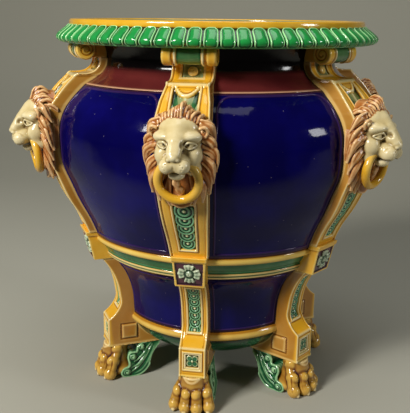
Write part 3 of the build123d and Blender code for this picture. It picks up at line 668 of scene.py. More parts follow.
# %% The yellow lip
lip_outline = [(147.5, 393.5), (158.2, 393.5), (158.5, 394.2), (158.5, 397.6), (158.1, 398.9), (157.2, 399.7),
               (155.8, 400), (153, 399.6), (150.4, 400), (148.9, 399.8), (147.9, 398.9), (147.5, 397.6)]
fine_lip = np.concatenate([smooth(lip_outline[1:], 0.5), smooth([lip_outline[-1], lip_outline[0]], 2)[1:]])
fine_lip[:, 1] = np.minimum(fine_lip[:, 1], LIP_TOP)
lip_mesh = turned_mesh("lip", fine_lip, lip_glaze, 432)
radius, _, _ = points_of(lip_mesh)
mark(lip_mesh, "inside", 1 - ease(radius, 147.4, 148.2))
place("yellow_lip", lip_mesh, lip_glaze, "lip_glaze", ["rim_lip"], 1.5)
print("lip:", len(lip_mesh.polygons), "faces")


# %% [markdown]
# A rib is a pressed strap with a framed face. Its outline in radius and height is swept into cross sections:
# the face with its relief, and two plain sides that run back into the wall. The columns across the face lie
# close together at the edge beads and at the panel frames, where the relief is fine, and wide elsewhere.

# %% The strap maker
def columns(half_width, panel_half):
    """Side steps across a strap from +half to -half, fine at the edge bead and at the frame of the panel."""
    w, p = half_width[:, None], panel_half[:, None]
    edge_steps = w - np.array([0, 0.25, 0.6, 1.0, 1.45, 1.9, 2.3, 2.8, 3.5])
    frame_steps = p + np.array([3.0, 2.5, 2.1, 1.7, 1.3, 0.9, 0.5, 0.2, 0.0, -0.25])
    plain = edge_steps[:, -1:] + (frame_steps[:, :1] - edge_steps[:, -1:]) * np.array([0.25, 0.5, 0.75])
    middle = frame_steps[:, -1:] * np.linspace(1, 0, 8)[1:]
    halfway = np.concatenate([edge_steps, plain, frame_steps, middle], axis=1)
    return np.concatenate([halfway, -halfway[:, -2::-1]], axis=1)


def strap(face, half_width, panel_half, back_radius, relief, side_stand=None, side_steps=12):
    """Points, faces and face-or-side marks of a strap. relief gives the stand on the face and its marks."""
    y = columns(half_width, panel_half)
    height = np.repeat(face[:, 1:2], y.shape[1], axis=1)
    stand, marks = relief(height, y, half_width[:, None], panel_half[:, None])
    square = outward(face)
    front_r = face[:, :1] + square[:, :1] * stand
    front_z = face[:, 1:] + square[:, 1:] * stand
    t = np.linspace(0, 1, side_steps + 1)[None, 1:]
    back_r = back_radius[:, None]
    side_r = front_r[:, -1:] * (1 - t) + back_r * t
    side_z = front_z[:, -1:] * (1 - t) + face[:, 1:] * t
    side_y = half_width[:, None] + (side_stand(side_r, side_z) if side_stand else 0 * side_r)
    r = np.concatenate([front_r, side_r, side_r[:, ::-1]], axis=1)
    z = np.concatenate([front_z, side_z, side_z[:, ::-1]], axis=1)
    yy = np.concatenate([y, -side_y, side_y[:, ::-1]], axis=1)
    points = np.stack([r, yy, z], axis=-1)
    marks = {k: np.concatenate([v, 0 * side_r, 0 * side_r], axis=1) for k, v in marks.items()}
    edge_gap = half_width[:, None] - np.abs(y)
    on_side = side_r * 0 + ease(t, 0.0, 0.12)
    marks["side"] = np.concatenate([1 - ease(edge_gap, -0.1, 0.35), on_side, on_side[:, ::-1]], axis=1)
    flat = points.reshape(-1, 3)
    faces = outside_out(flat, ring_faces(*points.shape[:2]))
    return flat, faces, {k: v.ravel() for k, v in marks.items()}


# %% Beads, frames and glazes of a strap
def frame_relief(gap, inside_depth=2.0):
    """Stand of a panel's frame at a distance outside the panel: groove, bead, then the sunk panel."""
    bead = 0.85 * hump(gap, 1.3, 1.15) - 0.35 * hump(gap, 2.85, 0.55)
    return bead - inside_depth * (1 - ease(gap, -0.25, 0.2))


def edge_relief(gap):
    """Stand of the bead along a strap's edge at a distance from it."""
    return 0.8 * hump(gap, 1.15, 1.15) - 0.3 * hump(gap, 2.8, 0.6)


def strap_glazes(gap, edge_gap, bar):
    """Cream on the frames, along the edges and on one bar across, and green in the panels."""
    cream = np.maximum(np.maximum(hump(gap, 1.3, 0.85), hump(edge_gap, 0.6, 0.8)), bar)
    return {"cream": np.clip(cream, 0, 1) * 0.85, "green": 1 - ease(gap, -0.35, 0.1)}


# %% [markdown]
# The upper half of a rib rises from the waist over the belly, narrows at a small ledge and hollows in to the
# scroll. It holds three sunk panels: the scales under the mask, a spandrel whose top edge hangs in an arc,
# and a small panel on the neck.

# %% Upper ribs
UPPER_FACE = [(149.3, 177), (157.5, 195.8), (168.4, 213.8), (178.8, 236.6), (186, 254.5), (190, 275.7),
              (189.5, 288.7), (189.5, 301), (186.8, 313.2), (179.9, 323), (173.9, 330.3), (169.4, 335.2),
              (158.5, 345.5)]
NECK_FACE = [(158.5, 345.5), (138.7, 349.2), (135, 353.8), (133.5, 358.4), (133.5, 362)]
upper_face = np.concatenate([smooth(UPPER_FACE, 0.9), smooth(NECK_FACE, 0.9)[1:]])
heights = upper_face[:, 1]
upper_half = np.interp(heights, [177, 231, 276, 316, 330, 343, 345.5, 347, 362],
                       [18.75, 23, 25, 25, 23.4, 20.2, 20.6, 20.4, 20.6])
upper_panel = np.interp(heights, [177, 185, 231, 300, 316, 340, 346, 349, 362],
                        [7.3, 7.5, 10, 11.5, 12, 12, 11, 10, 10])


def upper_gap(z, y, p):
    """Distance outside the nearest of the three panels."""
    scales = np.maximum(np.maximum(np.abs(y) - p, 185.5 - z), z - 236)
    arc = 342.0 - 8.5 * (1 - np.clip(np.abs(y) / p, 0, 1) ** 2)
    spandrel = np.maximum(np.maximum(np.abs(y) - p, 312 - z), (z - arc) * 0.8)
    neck = np.maximum(np.maximum(np.abs(y) - p, 349.2 - z), z - 361)
    return np.minimum(np.minimum(scales, spandrel), neck)


def upper_relief(z, y, w, p):
    gap, edge_gap = upper_gap(z, y, p), w - np.abs(y)
    ledge = hump(z, 343.6, 1.7) * 0.9 * ease(edge_gap, 0.5, 2)
    neck_panel = -1.8 * (1 - ease(gap, -0.25, 0.2))
    stand = edge_relief(edge_gap) + np.where(z < 343, frame_relief(gap), neck_panel)
    return stand + ledge, strap_glazes(gap, edge_gap, hump(z, 343.8, 1.3))


points, faces, marks = strap(upper_face, upper_half, upper_panel, wall_radius(heights) - 2.0, upper_relief)
place_on_ribs("upper_rib", points, faces, marks, ochre_glaze, "yellow_glaze", "rib_upper", 2.6)

# %% [markdown]
# The lower half falls from the waist in a hollow curve to the plinth, a block that stands over the paw. Its
# sides run far back under the bowl, and each carries a raised tablet.

# %% Lower ribs
SLOPE = [(130, 70), (123.7, 75.1), (118.8, 81.2), (115.1, 90.3), (115.7, 97.3), (117.1, 106.4),
         (120.7, 119.8), (127.4, 133.3), (135, 144)]
LOWER_HALF = 14.0
plinth = np.stack([np.full(36, 130.0), np.linspace(38, 69.5, 36)], axis=1)
lower_face = np.concatenate([plinth, smooth(SLOPE, 0.9)])
heights = lower_face[:, 1]
lower_half = np.full(len(heights), LOWER_HALF)
lower_panel = np.interp(heights, [38, 69, 78, 144], [8.5, 8.5, 6.5, 6.5])
BACK = [(38, 62), (39, 62), (40.4, 66), (48.2, 82), (56.8, 92), (66, 98), (77, 99.5)]
lower_back = np.where(heights < 77, np.interp(heights, *np.array(BACK).T), wall_radius(heights) - 2)


def lower_relief(z, y, w, p):
    tile = np.maximum(np.abs(y) - p, np.abs(z - 56) - 8.5)
    scales = np.maximum(np.maximum(np.abs(y) - p, 84 - z), z - 136)
    gap, edge_gap = np.minimum(tile, scales), w - np.abs(y)
    stand = edge_relief(edge_gap) * 0.75 + frame_relief(gap)
    stand += 0.7 * hump(z, 39.6, 1.6)
    return stand, strap_glazes(gap, edge_gap, 0.8 * hump(z, 70, 1.3))


def tablet(r, z):
    """Stand of the raised tablet on the plinth's side, with a groove round it."""
    gap = np.maximum(np.abs(r - 106.5) - 8.5, np.abs(z - 55) - 8)
    return 1.0 * (1 - ease(gap, -0.5, 0.5)) - 0.6 * hump(gap, 1.2, 0.8)


points, faces, marks = strap(lower_face, lower_half, lower_panel, lower_back, lower_relief, tablet, 44)
place_on_ribs("lower_rib", points, faces, marks, ochre_glaze, "yellow_glaze", "rib_lower", 2.6)


# %% [markdown]
# The scales in the long panels lie like roof tiles, each upper one over the next, with two raised rings and a
# small boss. A sheet of points is laid on the strap's outline at the panel's depth, and the tile that is
# highest up decides the relief of a point. The spandrel's green ground has a few leaf ribs instead.

# %% A sheet on a strap
def sheet_on(face, low, high, half_of, depth, relief, step=0.55, across=35, thickness=2.0):
    """A thin plate that follows a strap's outline between two heights, with relief on its face."""
    square = outward(face)
    run = length_along(face)
    ends = np.interp([low, high], face[:, 1], run)
    s = np.linspace(ends[0], ends[1], int((ends[1] - ends[0]) / step) + 1)
    line = np.stack([np.interp(s, run, face[:, k]) for k in (0, 1)], axis=1)
    side = np.stack([np.interp(s, run, square[:, k]) for k in (0, 1)], axis=1)
    half_width = half_of(line[:, 1])[:, None] - 0.1
    y = half_width * np.linspace(1, -1, across)[None, :]
    stand, marks = relief((s - ends[0])[:, None] + 0 * y, y, half_width)
    top, back = stand - depth, line - side * (depth + thickness)
    r, z = (np.concatenate([line[:, k:k + 1] + side[:, k:k + 1] * top, np.repeat(back[:, k:k + 1], 2, 1)], 1)
            for k in (0, 1))
    yy = np.concatenate([y, -half_width, half_width], axis=1)
    points = np.stack([r, yy, z], axis=-1)
    marks = {k: np.concatenate([v, np.zeros((len(s), 2))], axis=1).ravel() for k, v in marks.items()}
    flat = points.reshape(-1, 3)
    return flat, outside_out(flat, ring_faces(*points.shape[:2])), marks


# %% Scales, leaf ribs and the plain neck plate
def scales(pitch):
    """Relief of overlapping tiles up a panel, the uppermost on top."""
    def relief(s, y, half_width):
        radius = half_width * 1.02
        stand, top = np.full(s.shape, -0.4), np.zeros(s.shape)
        cream = np.zeros(s.shape)
        count = int((s.max() - 0.3 * radius.mean()) / pitch) + 1
        for i in range(count):
            centre = s.max() - 0.62 * radius.mean() - (count - 1 - i) * pitch
            far = np.hypot(y, s - centre)
            inside = far < radius
            tile = 0.5 + 0.7 * np.clip((centre + radius - s) / (2 * radius), 0, 1)
            tile = tile + 0.5 * hump(far, radius - 1.1, 1.1) - 0.5 * hump(far, radius * 0.70, 0.8)
            tile = tile + 0.45 * hump(far, radius * 0.50, 1.2) - 0.55 * hump(far, radius * 0.28, 0.8)
            tile = tile + 0.7 * np.sqrt(np.clip(1 - (far / 1.5) ** 2, 0, 1))
            stand = np.where(inside, tile, stand)
            cream = np.where(inside, np.sqrt(np.clip(1 - (far / 1.5) ** 2, 0, 1)), cream)
        return stand, {"cream": cream * 0.9}
    return relief


def leaf_ground(s, y, half_width):
    """Relief of the spandrel: ribs that fan out from below over a hollow ground."""
    fan = np.arctan2(y, s + 6)
    stand = 0.25 + 0.55 * np.cos(fan * 11) * ease(s, 4, 10) + 0.5 * hump(np.abs(y), 0, 1.6)
    return stand, {"cream": 0.25 + 0.3 * ease(stand, 0.4, 0.9)}


def place_round(name, points, faces, masks, material, slot, node, reach=3.0):
    """One small piece on every rib, repeated round the axis into a single mesh."""
    mesh = make_mesh(name, points, faces, masks)
    if "relief" not in mesh.attributes:
        mark(mesh, "relief", relief_of(mesh, reach))
    whole = through(moulds, mesh, {"Copies": RIBS, "First Turn": math.radians(FIRST_RIB), "Glaze": material})
    whole.name = name
    place(name, whole, material, slot, [node], reach)
    print(name, "in one mesh:", len(whole.polygons), "faces")


def flat_neck(s, y, half_width):
    """Relief of the neck plate: plain, with a line along each side."""
    return 0.2 * hump(np.abs(y), 8.0, 1.2), {"cream": 0.3 + 0 * s}


# %% The sheets in their panels
upper_part, neck_part = upper_face[upper_face[:, 1] < 345], upper_face[upper_face[:, 1] > 346]
SHEETS = [
    ("upper_scales", "upper_reliefs", 1.6, sheet_on(
        upper_part, 185.2, 234, lambda z: np.interp(z, [185, 231], [7.5, 10]), 1.9, scales(10.6))),
    ("lower_scales", "lower_reliefs", 1.4, sheet_on(
        lower_face, 84, 136, lambda z: 6.5 + 0 * z, 1.9, scales(8.2), 0.5, 27)),
    ("spandrels", "spandrel_panels", 2.0, sheet_on(
        upper_part, 310, 341.5, lambda z: 12 + 0 * z, 1.9, leaf_ground, 0.7, 31)),
    ("neck_plates", "neck_panels", 2.0, sheet_on(
        neck_part, 349.6, 360.5, lambda z: 10 + 0 * z, 1.6, flat_neck, 0.7, 25))]
for name, node, reach, sheet in SHEETS:
    place_round(name, *sheet, copper_relief_glaze, "relief_glaze", node, reach)

# %% [markdown]
# Lions, paws, leaves and flowers were modelled by hand in clay, so they are modelled here as clay is: lumps
# are pressed together, blended and cut. Each lump is a distance field on a grid of small cells, where a
# negative number is inside. The skin is then drawn where the field passes through zero.

# %% Clay: fields, lumps and a skin
FAR_OFF = 1e3  # mm, farther than any lump
BOTH = (1, -1)  # the two sides of a piece


class Clay:
    """A block of cells in which lumps are blended, cut and skinned. Lengths are in mm."""

    def __init__(self, low, high, cell):
        self.low, self.cell = np.array(low, float), cell
        counts = np.ceil((np.array(high) - self.low) / cell).astype(int) + 1
        self.axes = [self.low[k] + cell * np.arange(counts[k]) for k in range(3)]
        self.field = np.full(counts, FAR_OFF)
        self.tags = {}

    def near(self, low, high):
        """The cells inside a box, and their places."""
        span = []
        for k in range(3):
            a, b = np.searchsorted(self.axes[k], [low[k], high[k]])
            span.append(slice(max(a - 1, 0), min(b + 1, len(self.axes[k]))))
        grid = [self.axes[0][span[0]][:, None, None], self.axes[1][span[1]][None, :, None],
                self.axes[2][span[2]][None, None, :]]
        return tuple(span), grid

    def press(self, lump, low, high, soft=0.8, cut=False, tag=None):
        """Blend a lump in, or cut it out, with a soft seam. A tag remembers whose clay lies nearest."""
        span, grid = self.near(np.array(low) - soft - 2, np.array(high) + soft + 2)
        old, new = self.field[span], lump(*grid)
        if tag is not None:
            self.tags.setdefault(tag, np.full(self.field.shape, FAR_OFF))
            self.tags[tag][span] = np.minimum(self.tags[tag][span], new)
        old = -old if cut else old
        mix = np.clip(0.5 + 0.5 * (old - new) / soft, 0, 1)
        blended = old * (1 - mix) + new * mix - soft * mix * (1 - mix)
        self.field[span] = -blended if cut else blended

    def ball(self, centre, size, soft=0.8, cut=False, tag=None, hands=(1,)):
        """A ball, or an egg when size has three radii. hands (1, -1) makes a pair."""
        size = np.array(size, float) * np.ones(3)
        for hand in hands:
            c = np.array(centre, float) * (1, hand, 1)

            def lump(x, y, z, c=c):
                p = [(x - c[0]) / size[0], (y - c[1]) / size[1], (z - c[2]) / size[2]]
                far = np.sqrt(p[0] ** 2 + p[1] ** 2 + p[2] ** 2) + 1e-9
                steep = np.sqrt((p[0] / size[0]) ** 2 + (p[1] / size[1]) ** 2 + (p[2] / size[2]) ** 2) + 1e-9
                return far * (far - 1) / steep
            self.press(lump, c - size, c + size, soft, cut, tag)

    def roll(self, path, sizes, soft=0.8, cut=False, tag=None, hands=(1,)):
        """A rolled strand through the points of a path, thick or thin along it."""
        path = np.array(path, float)
        sizes = np.interp(np.linspace(0, 1, len(path)), np.linspace(0, 1, len(sizes)), sizes)
        for hand in hands:
            line = path * (1, hand, 1)

            def lump(x, y, z, line=line):
                best = np.full(np.broadcast_shapes(x.shape, y.shape, z.shape), FAR_OFF)
                for a, b, ra, rb in zip(line, line[1:], sizes, sizes[1:]):
                    d = b - a
                    along = (x - a[0]) * d[0] + (y - a[1]) * d[1] + (z - a[2]) * d[2]
                    t = np.clip(along / max(d @ d, 1e-9), 0, 1)
                    p = [x - a[0] - t * d[0], y - a[1] - t * d[1], z - a[2] - t * d[2]]
                    far = np.sqrt(p[0] ** 2 + p[1] ** 2 + p[2] ** 2)
                    best = np.minimum(best, far - ra - (rb - ra) * t)
                return best
            reach = max(sizes)
            self.press(lump, line.min(0) - reach, line.max(0) + reach, soft, cut, tag)

    def skin(self):
        """Points and faces where the field passes through zero, turned outwards."""
        field, shape = self.field, np.array(self.field.shape)
        cells = shape - 1
        total, hits, edges = np.zeros((3, cells.prod())), np.zeros(cells.prod()), []
        for axis in range(3):
            first = [slice(None)] * 3
            first[axis] = slice(0, -1)
            then = [slice(None)] * 3
            then[axis] = slice(1, None)
            a, b = field[tuple(first)], field[tuple(then)]
            at = np.argwhere((a < 0) != (b < 0))
            va, vb = a[tuple(at.T)], b[tuple(at.T)]
            spot = at.astype(float)
            spot[:, axis] += va / (va - vb)
            u, v = (axis + 1) % 3, (axis + 2) % 3
            corners = []
            for du, dv in ((1, 1), (0, 1), (0, 0), (1, 0)):
                cell = at.copy()
                cell[:, u] -= du
                cell[:, v] -= dv
                flat = np.ravel_multi_index(cell.T, cells)
                corners.append(flat)
                hits += np.bincount(flat, minlength=len(hits))
                for k in range(3):
                    total[k] += np.bincount(flat, spot[:, k], len(hits))
            quads = np.stack(corners, axis=1)
            edges.append(np.where((va < 0)[:, None], quads, quads[:, ::-1]))
        used = np.flatnonzero(hits)
        number = np.full(len(hits), -1)
        number[used] = np.arange(len(used))
        points = self.low + self.cell * (total[:, used] / hits[used]).T
        return points, [number[np.concatenate(edges)]]

    def read(self, values, points):
        """Values of a field at points, by eight-corner interpolation."""
        p = (points - self.low) / self.cell
        i = np.clip(np.floor(p).astype(int), 0, np.array(values.shape) - 2)
        t = p - i
        result = np.zeros(len(points))
        for dx in (0, 1):
            for dy in (0, 1):
                for dz in (0, 1):
                    weight = np.abs(1 - dx - t[:, 0]) * np.abs(1 - dy - t[:, 1]) * np.abs(1 - dz - t[:, 2])
                    result += weight * values[i[:, 0] + dx, i[:, 1] + dy, i[:, 2] + dz]
        return result


def bend_through(points, steps=10):
    """A smooth strand path through a few points in space."""
    points = np.array(points, float)
    knots = np.linspace(0, 1, len(points))
    t = np.linspace(0, 1, steps)
    if len(points) == 2:
        return np.stack([np.interp(t, knots, points[:, k]) for k in range(3)], axis=1)
    slopes = np.gradient(points, knots, axis=0)
    i = np.clip(np.searchsorted(knots, t, side="right") - 1, 0, len(points) - 2)
    gap = knots[1]
    u = ((t - knots[i]) / gap)[:, None]
    return (2 * u ** 3 - 3 * u ** 2 + 1) * points[i] + (u ** 3 - 2 * u ** 2 + u) * gap * slopes[i] + \
        (-2 * u ** 3 + 3 * u ** 2) * points[i + 1] + (u ** 3 - u ** 2) * gap * slopes[i + 1]


# %% [markdown]
# The lion looks straight out and a little down. The modeller built a wedge of a head with a high sloping
# brow, deep eyes, a long flat bridge and a broad muzzle, with small ears at the mane. Locks of the mane
# start at the edge of the face, swell and curl back to the strap. Each lock is a bundle of strands, which
# leaves the fine grooves where the brown glaze gathers and where its dark is also painted shade.

# %% Lion mask: the head
LION_BACK, LION_FRONT = 179.0, 226.3
lion = Clay((177.5, -35, 229), (229, 35, 338), 0.66)
mane_edge = np.array([(0, 330), (9, 327), (18, 320), (25, 309), (28.0, 296), (28.0, 280), (25.0, 264),
                      (18, 250), (10, 239), (0, 235)])


def mane_plate(x, y, z):
    """A domed plate under the mane, set back a little from its edge."""
    wide = np.interp(z, mane_edge[::-1, 1], mane_edge[::-1, 0]) - 1.6
    domed = np.maximum(x - 190.0 + 0.0075 * (y ** 2), np.abs(y) - wide)
    return np.maximum(np.maximum(domed, np.abs(z - 282.5) - 46.0), LION_BACK + 0.2 - x)


lion.press(mane_plate, (178, -31, 233), (192, 31, 331), 2.0, tag="mane")
HEAD = [  # part, how it is laid, centre or path, radii, softness of the seam, sides
    ("skull", "face", (190.5, 0, 299), (20.0, 21.5, 24.0), 3.0, (1,)),
    ("forehead", "face", (198.0, 0, 311.5), (9.0, 15.5, 10.0), 5.0, (1,)),
    ("brow", "face", (206.8, 8.2, 304.2), (7.0, 9.6, 4.4), 4.5, BOTH),
    ("end of the brow", "face", (203.6, 16.4, 303.6), (4.6, 5.0, 3.8), 4.0, BOTH),
    ("cheekbone", "face", (199.5, 13.2, 287.5), (9.5, 8.0, 10.0), 3.0, BOTH),
    ("jowl", "face", (194.5, 12.0, 276.5), (11.5, 7.8, 8.2), 3.0, BOTH),
    ("bridge", "face", [(203.0, 0, 309), (211.5, 0, 299.5), (218.8, 0, 290.4)], (9.0, 7.8, 6.0), 3.0, (1,)),
    ("edge of the bridge", "face", [(211.0, 3.4, 304.5), (216.4, 3.1, 297.5), (221.0, 2.5, 290.8)],
     (3.4, 3.4, 3.2), 2.4, BOTH),
    ("muzzle", "face", (210.5, 0, 282.6), (13.2, 12.2, 8.6), 3.0, (1,)),
    ("lip pad", "face", (215.6, 6.4, 280.2), (7.8, 7.2, 7.2), 1.8, BOTH),
    ("nose", "face", (222.0, 0, 288.6), (4.2, 4.6, 3.6), 1.0, (1,)),
    ("wing of the nose", "face", (222.0, 3.6, 287.0), (2.7, 2.2, 2.2), 0.8, BOTH),
    ("nostril", "cut", (225.2, 3.1, 284.9), (2.2, 1.9, 0.8), 0.5, BOTH),
    ("split of the lip", "cut", [(226.4, 0, 285.6), (224.6, 0, 281.0), (222.0, 0, 275.6)], (0.9, 1.4, 1.6),
     0.6, (1,)),
    ("eye hollow", "cut", (215.2, 11.6, 298.4), (5.4, 5.4, 3.5), 1.8, BOTH),
    ("corner of the eye", "cut", (217.2, 7.2, 298.4), (3.2, 2.4, 3.0), 1.2, BOTH),
    ("eyeball", "face", (206.4, 11.4, 297.6), 3.8, 0.6, BOTH),
    ("upper lid", "face", bend_through([(212.0, 6.8, 296.6), (211.4, 10.4, 299.8), (208.8, 14.4, 299.6),
                                        (204.6, 17.4, 297.2)]), (0.5, 1.0, 1.0, 0.5), 1.2, BOTH),
    ("lower lid", "face", bend_through([(211.4, 7.0, 296.2), (210.0, 10.8, 294.2), (207.8, 14.4, 294.8),
                                        (204.6, 17.4, 296.8)]), (0.4, 0.6, 0.6, 0.4), 1.2, BOTH),
    ("pupil", "cut", (210.9, 10.7, 297.6), (1.2, 1.2, 1.2), 0.3, BOTH),
    ("fold beside the nose", "cut", bend_through([(222.0, 7.4, 288.8), (217.0, 11.4, 286.6),
                                                  (209.0, 15.6, 280.8)]), (0.5, 0.9, 0.5), 1.6, BOTH),
    ("chin", "face", (206.6, 0, 270.8), (7.0, 7.4, 4.7), 1.0, (1,)),
    ("line of the mouth", "cut", bend_through([(223.6, 0, 274.6), (218.0, 5.2, 273.4), (210.0, 10.8, 274.4),
                                   (203.4, 14.6, 277.0)]), (1.1, 1.5, 1.6, 1.6), 0.6, BOTH),
    ("opening of the mouth", "cut", (211.5, 0, 274.4), (6.5, 7.0, 1.6), 0.6, (1,)),
    ("ear", "mane", bend_through([(202.0, 19.5, 311.0), (201.4, 23.6, 311.8), (199.4, 25.8, 308.0),
                                  (198.8, 24.0, 303.6)]), (1.5, 1.6, 1.5, 1.0), 1.2, BOTH),
    ("hollow of the ear", "cut", (203.0, 22.2, 307.6), (2.8, 1.9, 2.4), 0.7, BOTH)]
for _, how, where, size, soft, hands in HEAD:
    lay = lion.ball if np.ndim(where) == 1 else lion.roll
    lay(where, size, soft, cut=how == "cut", tag=None if how == "cut" else how, hands=hands)
for z, y in ((282.6, 6.4), (280.4, 8.6), (278.0, 7.0), (281.8, 10.4), (278.6, 10.2)):
    front = 223.3 - 0.05 * (y - 6) ** 2 * 3.2 - 0.08 * (280 - z) ** 2
    lion.ball((front, y, z), 0.55, 0.3, cut=True, hands=BOTH)
print("lion head:", len(HEAD), "kinds of lump in", lion.field.shape, "cells")

# %% [markdown]
# The mane is built tuft by tuft. Each tuft is a full body with strands that fan out along the edge of the
# face, swell outwards and meet at a tip on the strap, as combed wet hair does. A fixed seed shifts them a
# little, so that the two sides are never quite alike. A crest of short strands stands up from the brow and
# falls back, and a twisted tuft hangs from the chin behind the ring.

# %% Lion mask: the mane
chance = np.random.default_rng(11)
STRANDS, STRAND_SIZE = 5, 1.5
TUFTS = [  # root, belly, tip, spread of the roots, radius of the body
    ((196.5, 18.6, 315.0), (194.0, 26.0, 312.5), (187.0, 29.6, 300.0), 3.4, 2.6),
    ((196.8, 20.6, 304.5), (193.5, 29.0, 299.0), (186.0, 30.8, 284.0), 4.2, 3.6),
    ((196.5, 20.4, 294.5), (193.5, 29.4, 288.5), (186.0, 30.6, 271.0), 4.4, 3.8),
    ((196.0, 19.2, 284.5), (193.0, 28.0, 276.5), (186.0, 28.8, 260.0), 4.2, 3.6),
    ((195.2, 17.0, 276.5), (192.0, 25.0, 265.5), (186.0, 25.6, 250.0), 3.8, 3.2),
    ((194.2, 13.4, 271.0), (191.0, 19.6, 257.5), (185.5, 19.4, 242.0), 3.2, 2.8),
    ((193.2, 8.6, 267.5), (190.0, 12.0, 254.0), (185.0, 11.0, 237.5), 2.8, 2.4)]


def tuft(root, belly, tip, fan, body, hand):
    """A tuft of the mane: a full body, and strands that fan out at the root and meet at the tip."""
    root, belly, tip = (np.array(p, float) * (1, hand, 1) for p in (root, belly, tip))
    core = bend_through([root, belly - (2.6, 0, 0), tip], 8)
    lion.roll(core, (body * 0.7, body, body * 0.35), 1.2, tag="mane")
    for k in range(STRANDS):
        off = (k - (STRANDS - 1) / 2) / ((STRANDS - 1) / 2)
        start = root + (0.3, -0.4 * hand * off, fan * off) + chance.normal(0, 0.3, 3)
        middle = belly + (0.9 * (1 - off ** 2), 0.45 * body * hand * off, 0.75 * body * off)
        middle = middle + chance.normal(0, 0.35, 3)
        lower = 0.45 * belly + 0.55 * tip + (0.4, 0.30 * body * hand * off, 0.30 * body * off)
        lower = lower + np.array([0, 0.8 * hand, 0]) + chance.normal(0, 0.3, 3)
        end = tip + chance.normal(0, 0.5, 3)
        thick = STRAND_SIZE * (0.85 + 0.3 * chance.random())
        strand = bend_through([start, middle, lower, end], 14)
        lion.roll(strand, thick * np.array([0.8, 1.25, 1.05, 0.45]), 0.3, tag="mane")


for root, belly, tip, fan, body in TUFTS[::-1]:
    for hand in BOTH:
        shift = chance.normal(0, 0.5, 3)
        tuft(root + shift, belly + shift * 1.5, tip + shift, fan, body, hand)
print("mane:", 2 * len(TUFTS), "tufts of", STRANDS, "strands")

# %% Lion mask: the crest and the beard
for y in np.linspace(-18.5, 18.5, 15):
    front = 203.0 - 0.018 * y * y + chance.normal(0, 0.4)
    low = 320.5 - 0.020 * y * y + chance.normal(0, 0.6)
    middle = math.exp(-((y - 1.5) / 5.5) ** 2)
    rise = 4.6 + 6.6 * middle + chance.normal(0, 0.5)
    lean = 0.10 * y + chance.normal(0, 0.9) + 1.8 * middle
    for k in (0, 1):
        root = np.array([front - 1.5 * k, y + 1.2 * k, low - 0.5 + 0.6 * k])
        crest = root + (-3.2 - 1.5 * k, 0.6 * lean, 0.8 * rise)
        over = root + (-8.5 - 1.5 * k, 1.2 * lean, rise)
        end = root + (-18, 1.6 * lean, rise - 6.0)
        lion.roll(bend_through([root, crest, over, end], 14), (1.0, 1.55, 1.7, 1.2), 0.3, tag="mane")
for side in (-1.6, 0.0, 1.6):
    twist = [(203.5, side, 269.5), (201.0, -1.6 - side * 0.9, 262.5), (197.0, 1.0 + side, 255.5),
             (193.0, 1.6 - side * 0.8, 249.5), (187.0, -0.5 + side * 0.5, 242.0)]
    lion.roll(bend_through(twist, 16), (1.4, 2.5, 2.6, 2.2, 0.8), 0.3, tag="mane")
across_x = lion.axes[0][:, None, None]
lion.field = np.maximum(np.maximum(lion.field, LION_BACK - across_x), across_x - LION_FRONT)

# %% Lion mask: its skin and where each glaze lies
points, faces = lion.skin()
x, y, z = points[:, 0], np.abs(points[:, 1]), points[:, 2]
mane = ease(lion.read(lion.tags["face"], points) - lion.read(lion.tags["mane"], points), -0.3, 0.5)
# The dark mark is painted shade in the open mouth and in the nostrils; the pupils are given it too.
mouth = (1 - ease(z, 275.6, 276.6)) * ease(z, 272.2, 273.2) * ease(x, 202, 205) * (x < 220)
nostril = (np.hypot(y - 3.1, 2 * (z - 284.9)) < 1.2) & (x > 220)
pupil = (np.hypot(y - 10.7, z - 297.6) < 1.4) & (x > 207)
dark = np.clip(0.6 * mouth + 0.85 * pupil + 0.5 * nostril, 0, 1)
place_on_ribs("lion", points, faces, {"mane": mane, "dark": dark}, mask_glaze, "mask_glaze", "lion_mask", 2.2)


# %% [markdown]
# The ring was rolled by hand from a coil of clay and luted into the corners of the mouth, so it is a little
# uneven and leans in on the beard. A torus is bent by slow waves to show that.

# %% Rings
RING_CENTRE, RING_MAJOR, RING_TUBE, RING_LEAN = (200.42, 264.27), 18.55, 4.2, math.radians(10)


def uneven_ring(steps=112, sides=28):
    a = np.linspace(0, 2 * np.pi, steps, endpoint=False)[:, None]
    b = np.linspace(0, 2 * np.pi, sides, endpoint=False)[None, :]
    worn = 0.12 * (1 + np.sin(3 * a + 1.1)) * (0.6 + 0.4 * np.cos(b + 2 * a))
    tube = RING_TUBE - worn - 0.1 * (1 + np.cos(5 * a))
    across = RING_MAJOR - 0.12 + 0.12 * np.cos(2 * a + 0.6) + tube * np.cos(b)
    lift = tube * np.sin(b)
    up = across * np.sin(a)
    x = RING_CENTRE[0] + up * math.sin(RING_LEAN) + lift * math.cos(RING_LEAN)
    z = RING_CENTRE[1] + up * math.cos(RING_LEAN) - lift * math.sin(RING_LEAN)
    points = np.stack([x, across * np.cos(a), z], axis=-1).reshape(-1, 3)
    i, j = np.meshgrid(np.arange(steps), np.arange(sides), indexing="ij")
    then, side = (i + 1) % steps, (j + 1) % sides
    corners = [i * sides + j, then * sides + j, then * sides + side, i * sides + side]
    return points, outside_out(points, [np.stack(corners, axis=-1).reshape(-1, 4)])


points, faces = uneven_ring()
# Painted shading on the ring: the back of the tube, towards the mane, is set darker and the front paler, by
# how far out from the axis each point lies.
painted_ring_shading = -0.3 + 0.5 * ease(points[:, 0] - RING_CENTRE[0], -2.0, 5.0)
place_on_ribs("handle_ring", points, faces, {"relief": painted_ring_shading}, lip_glaze, "lip_glaze", "ring")

# %% [markdown]
# Under the rim each rib ends in a console roll that lies across it: a green barrel, two cream beads a side,
# and a yellow drum at each end with a spiral cut in it. It is pressed from the same clay tool, because its
# edges are as soft as the rest under the glaze.

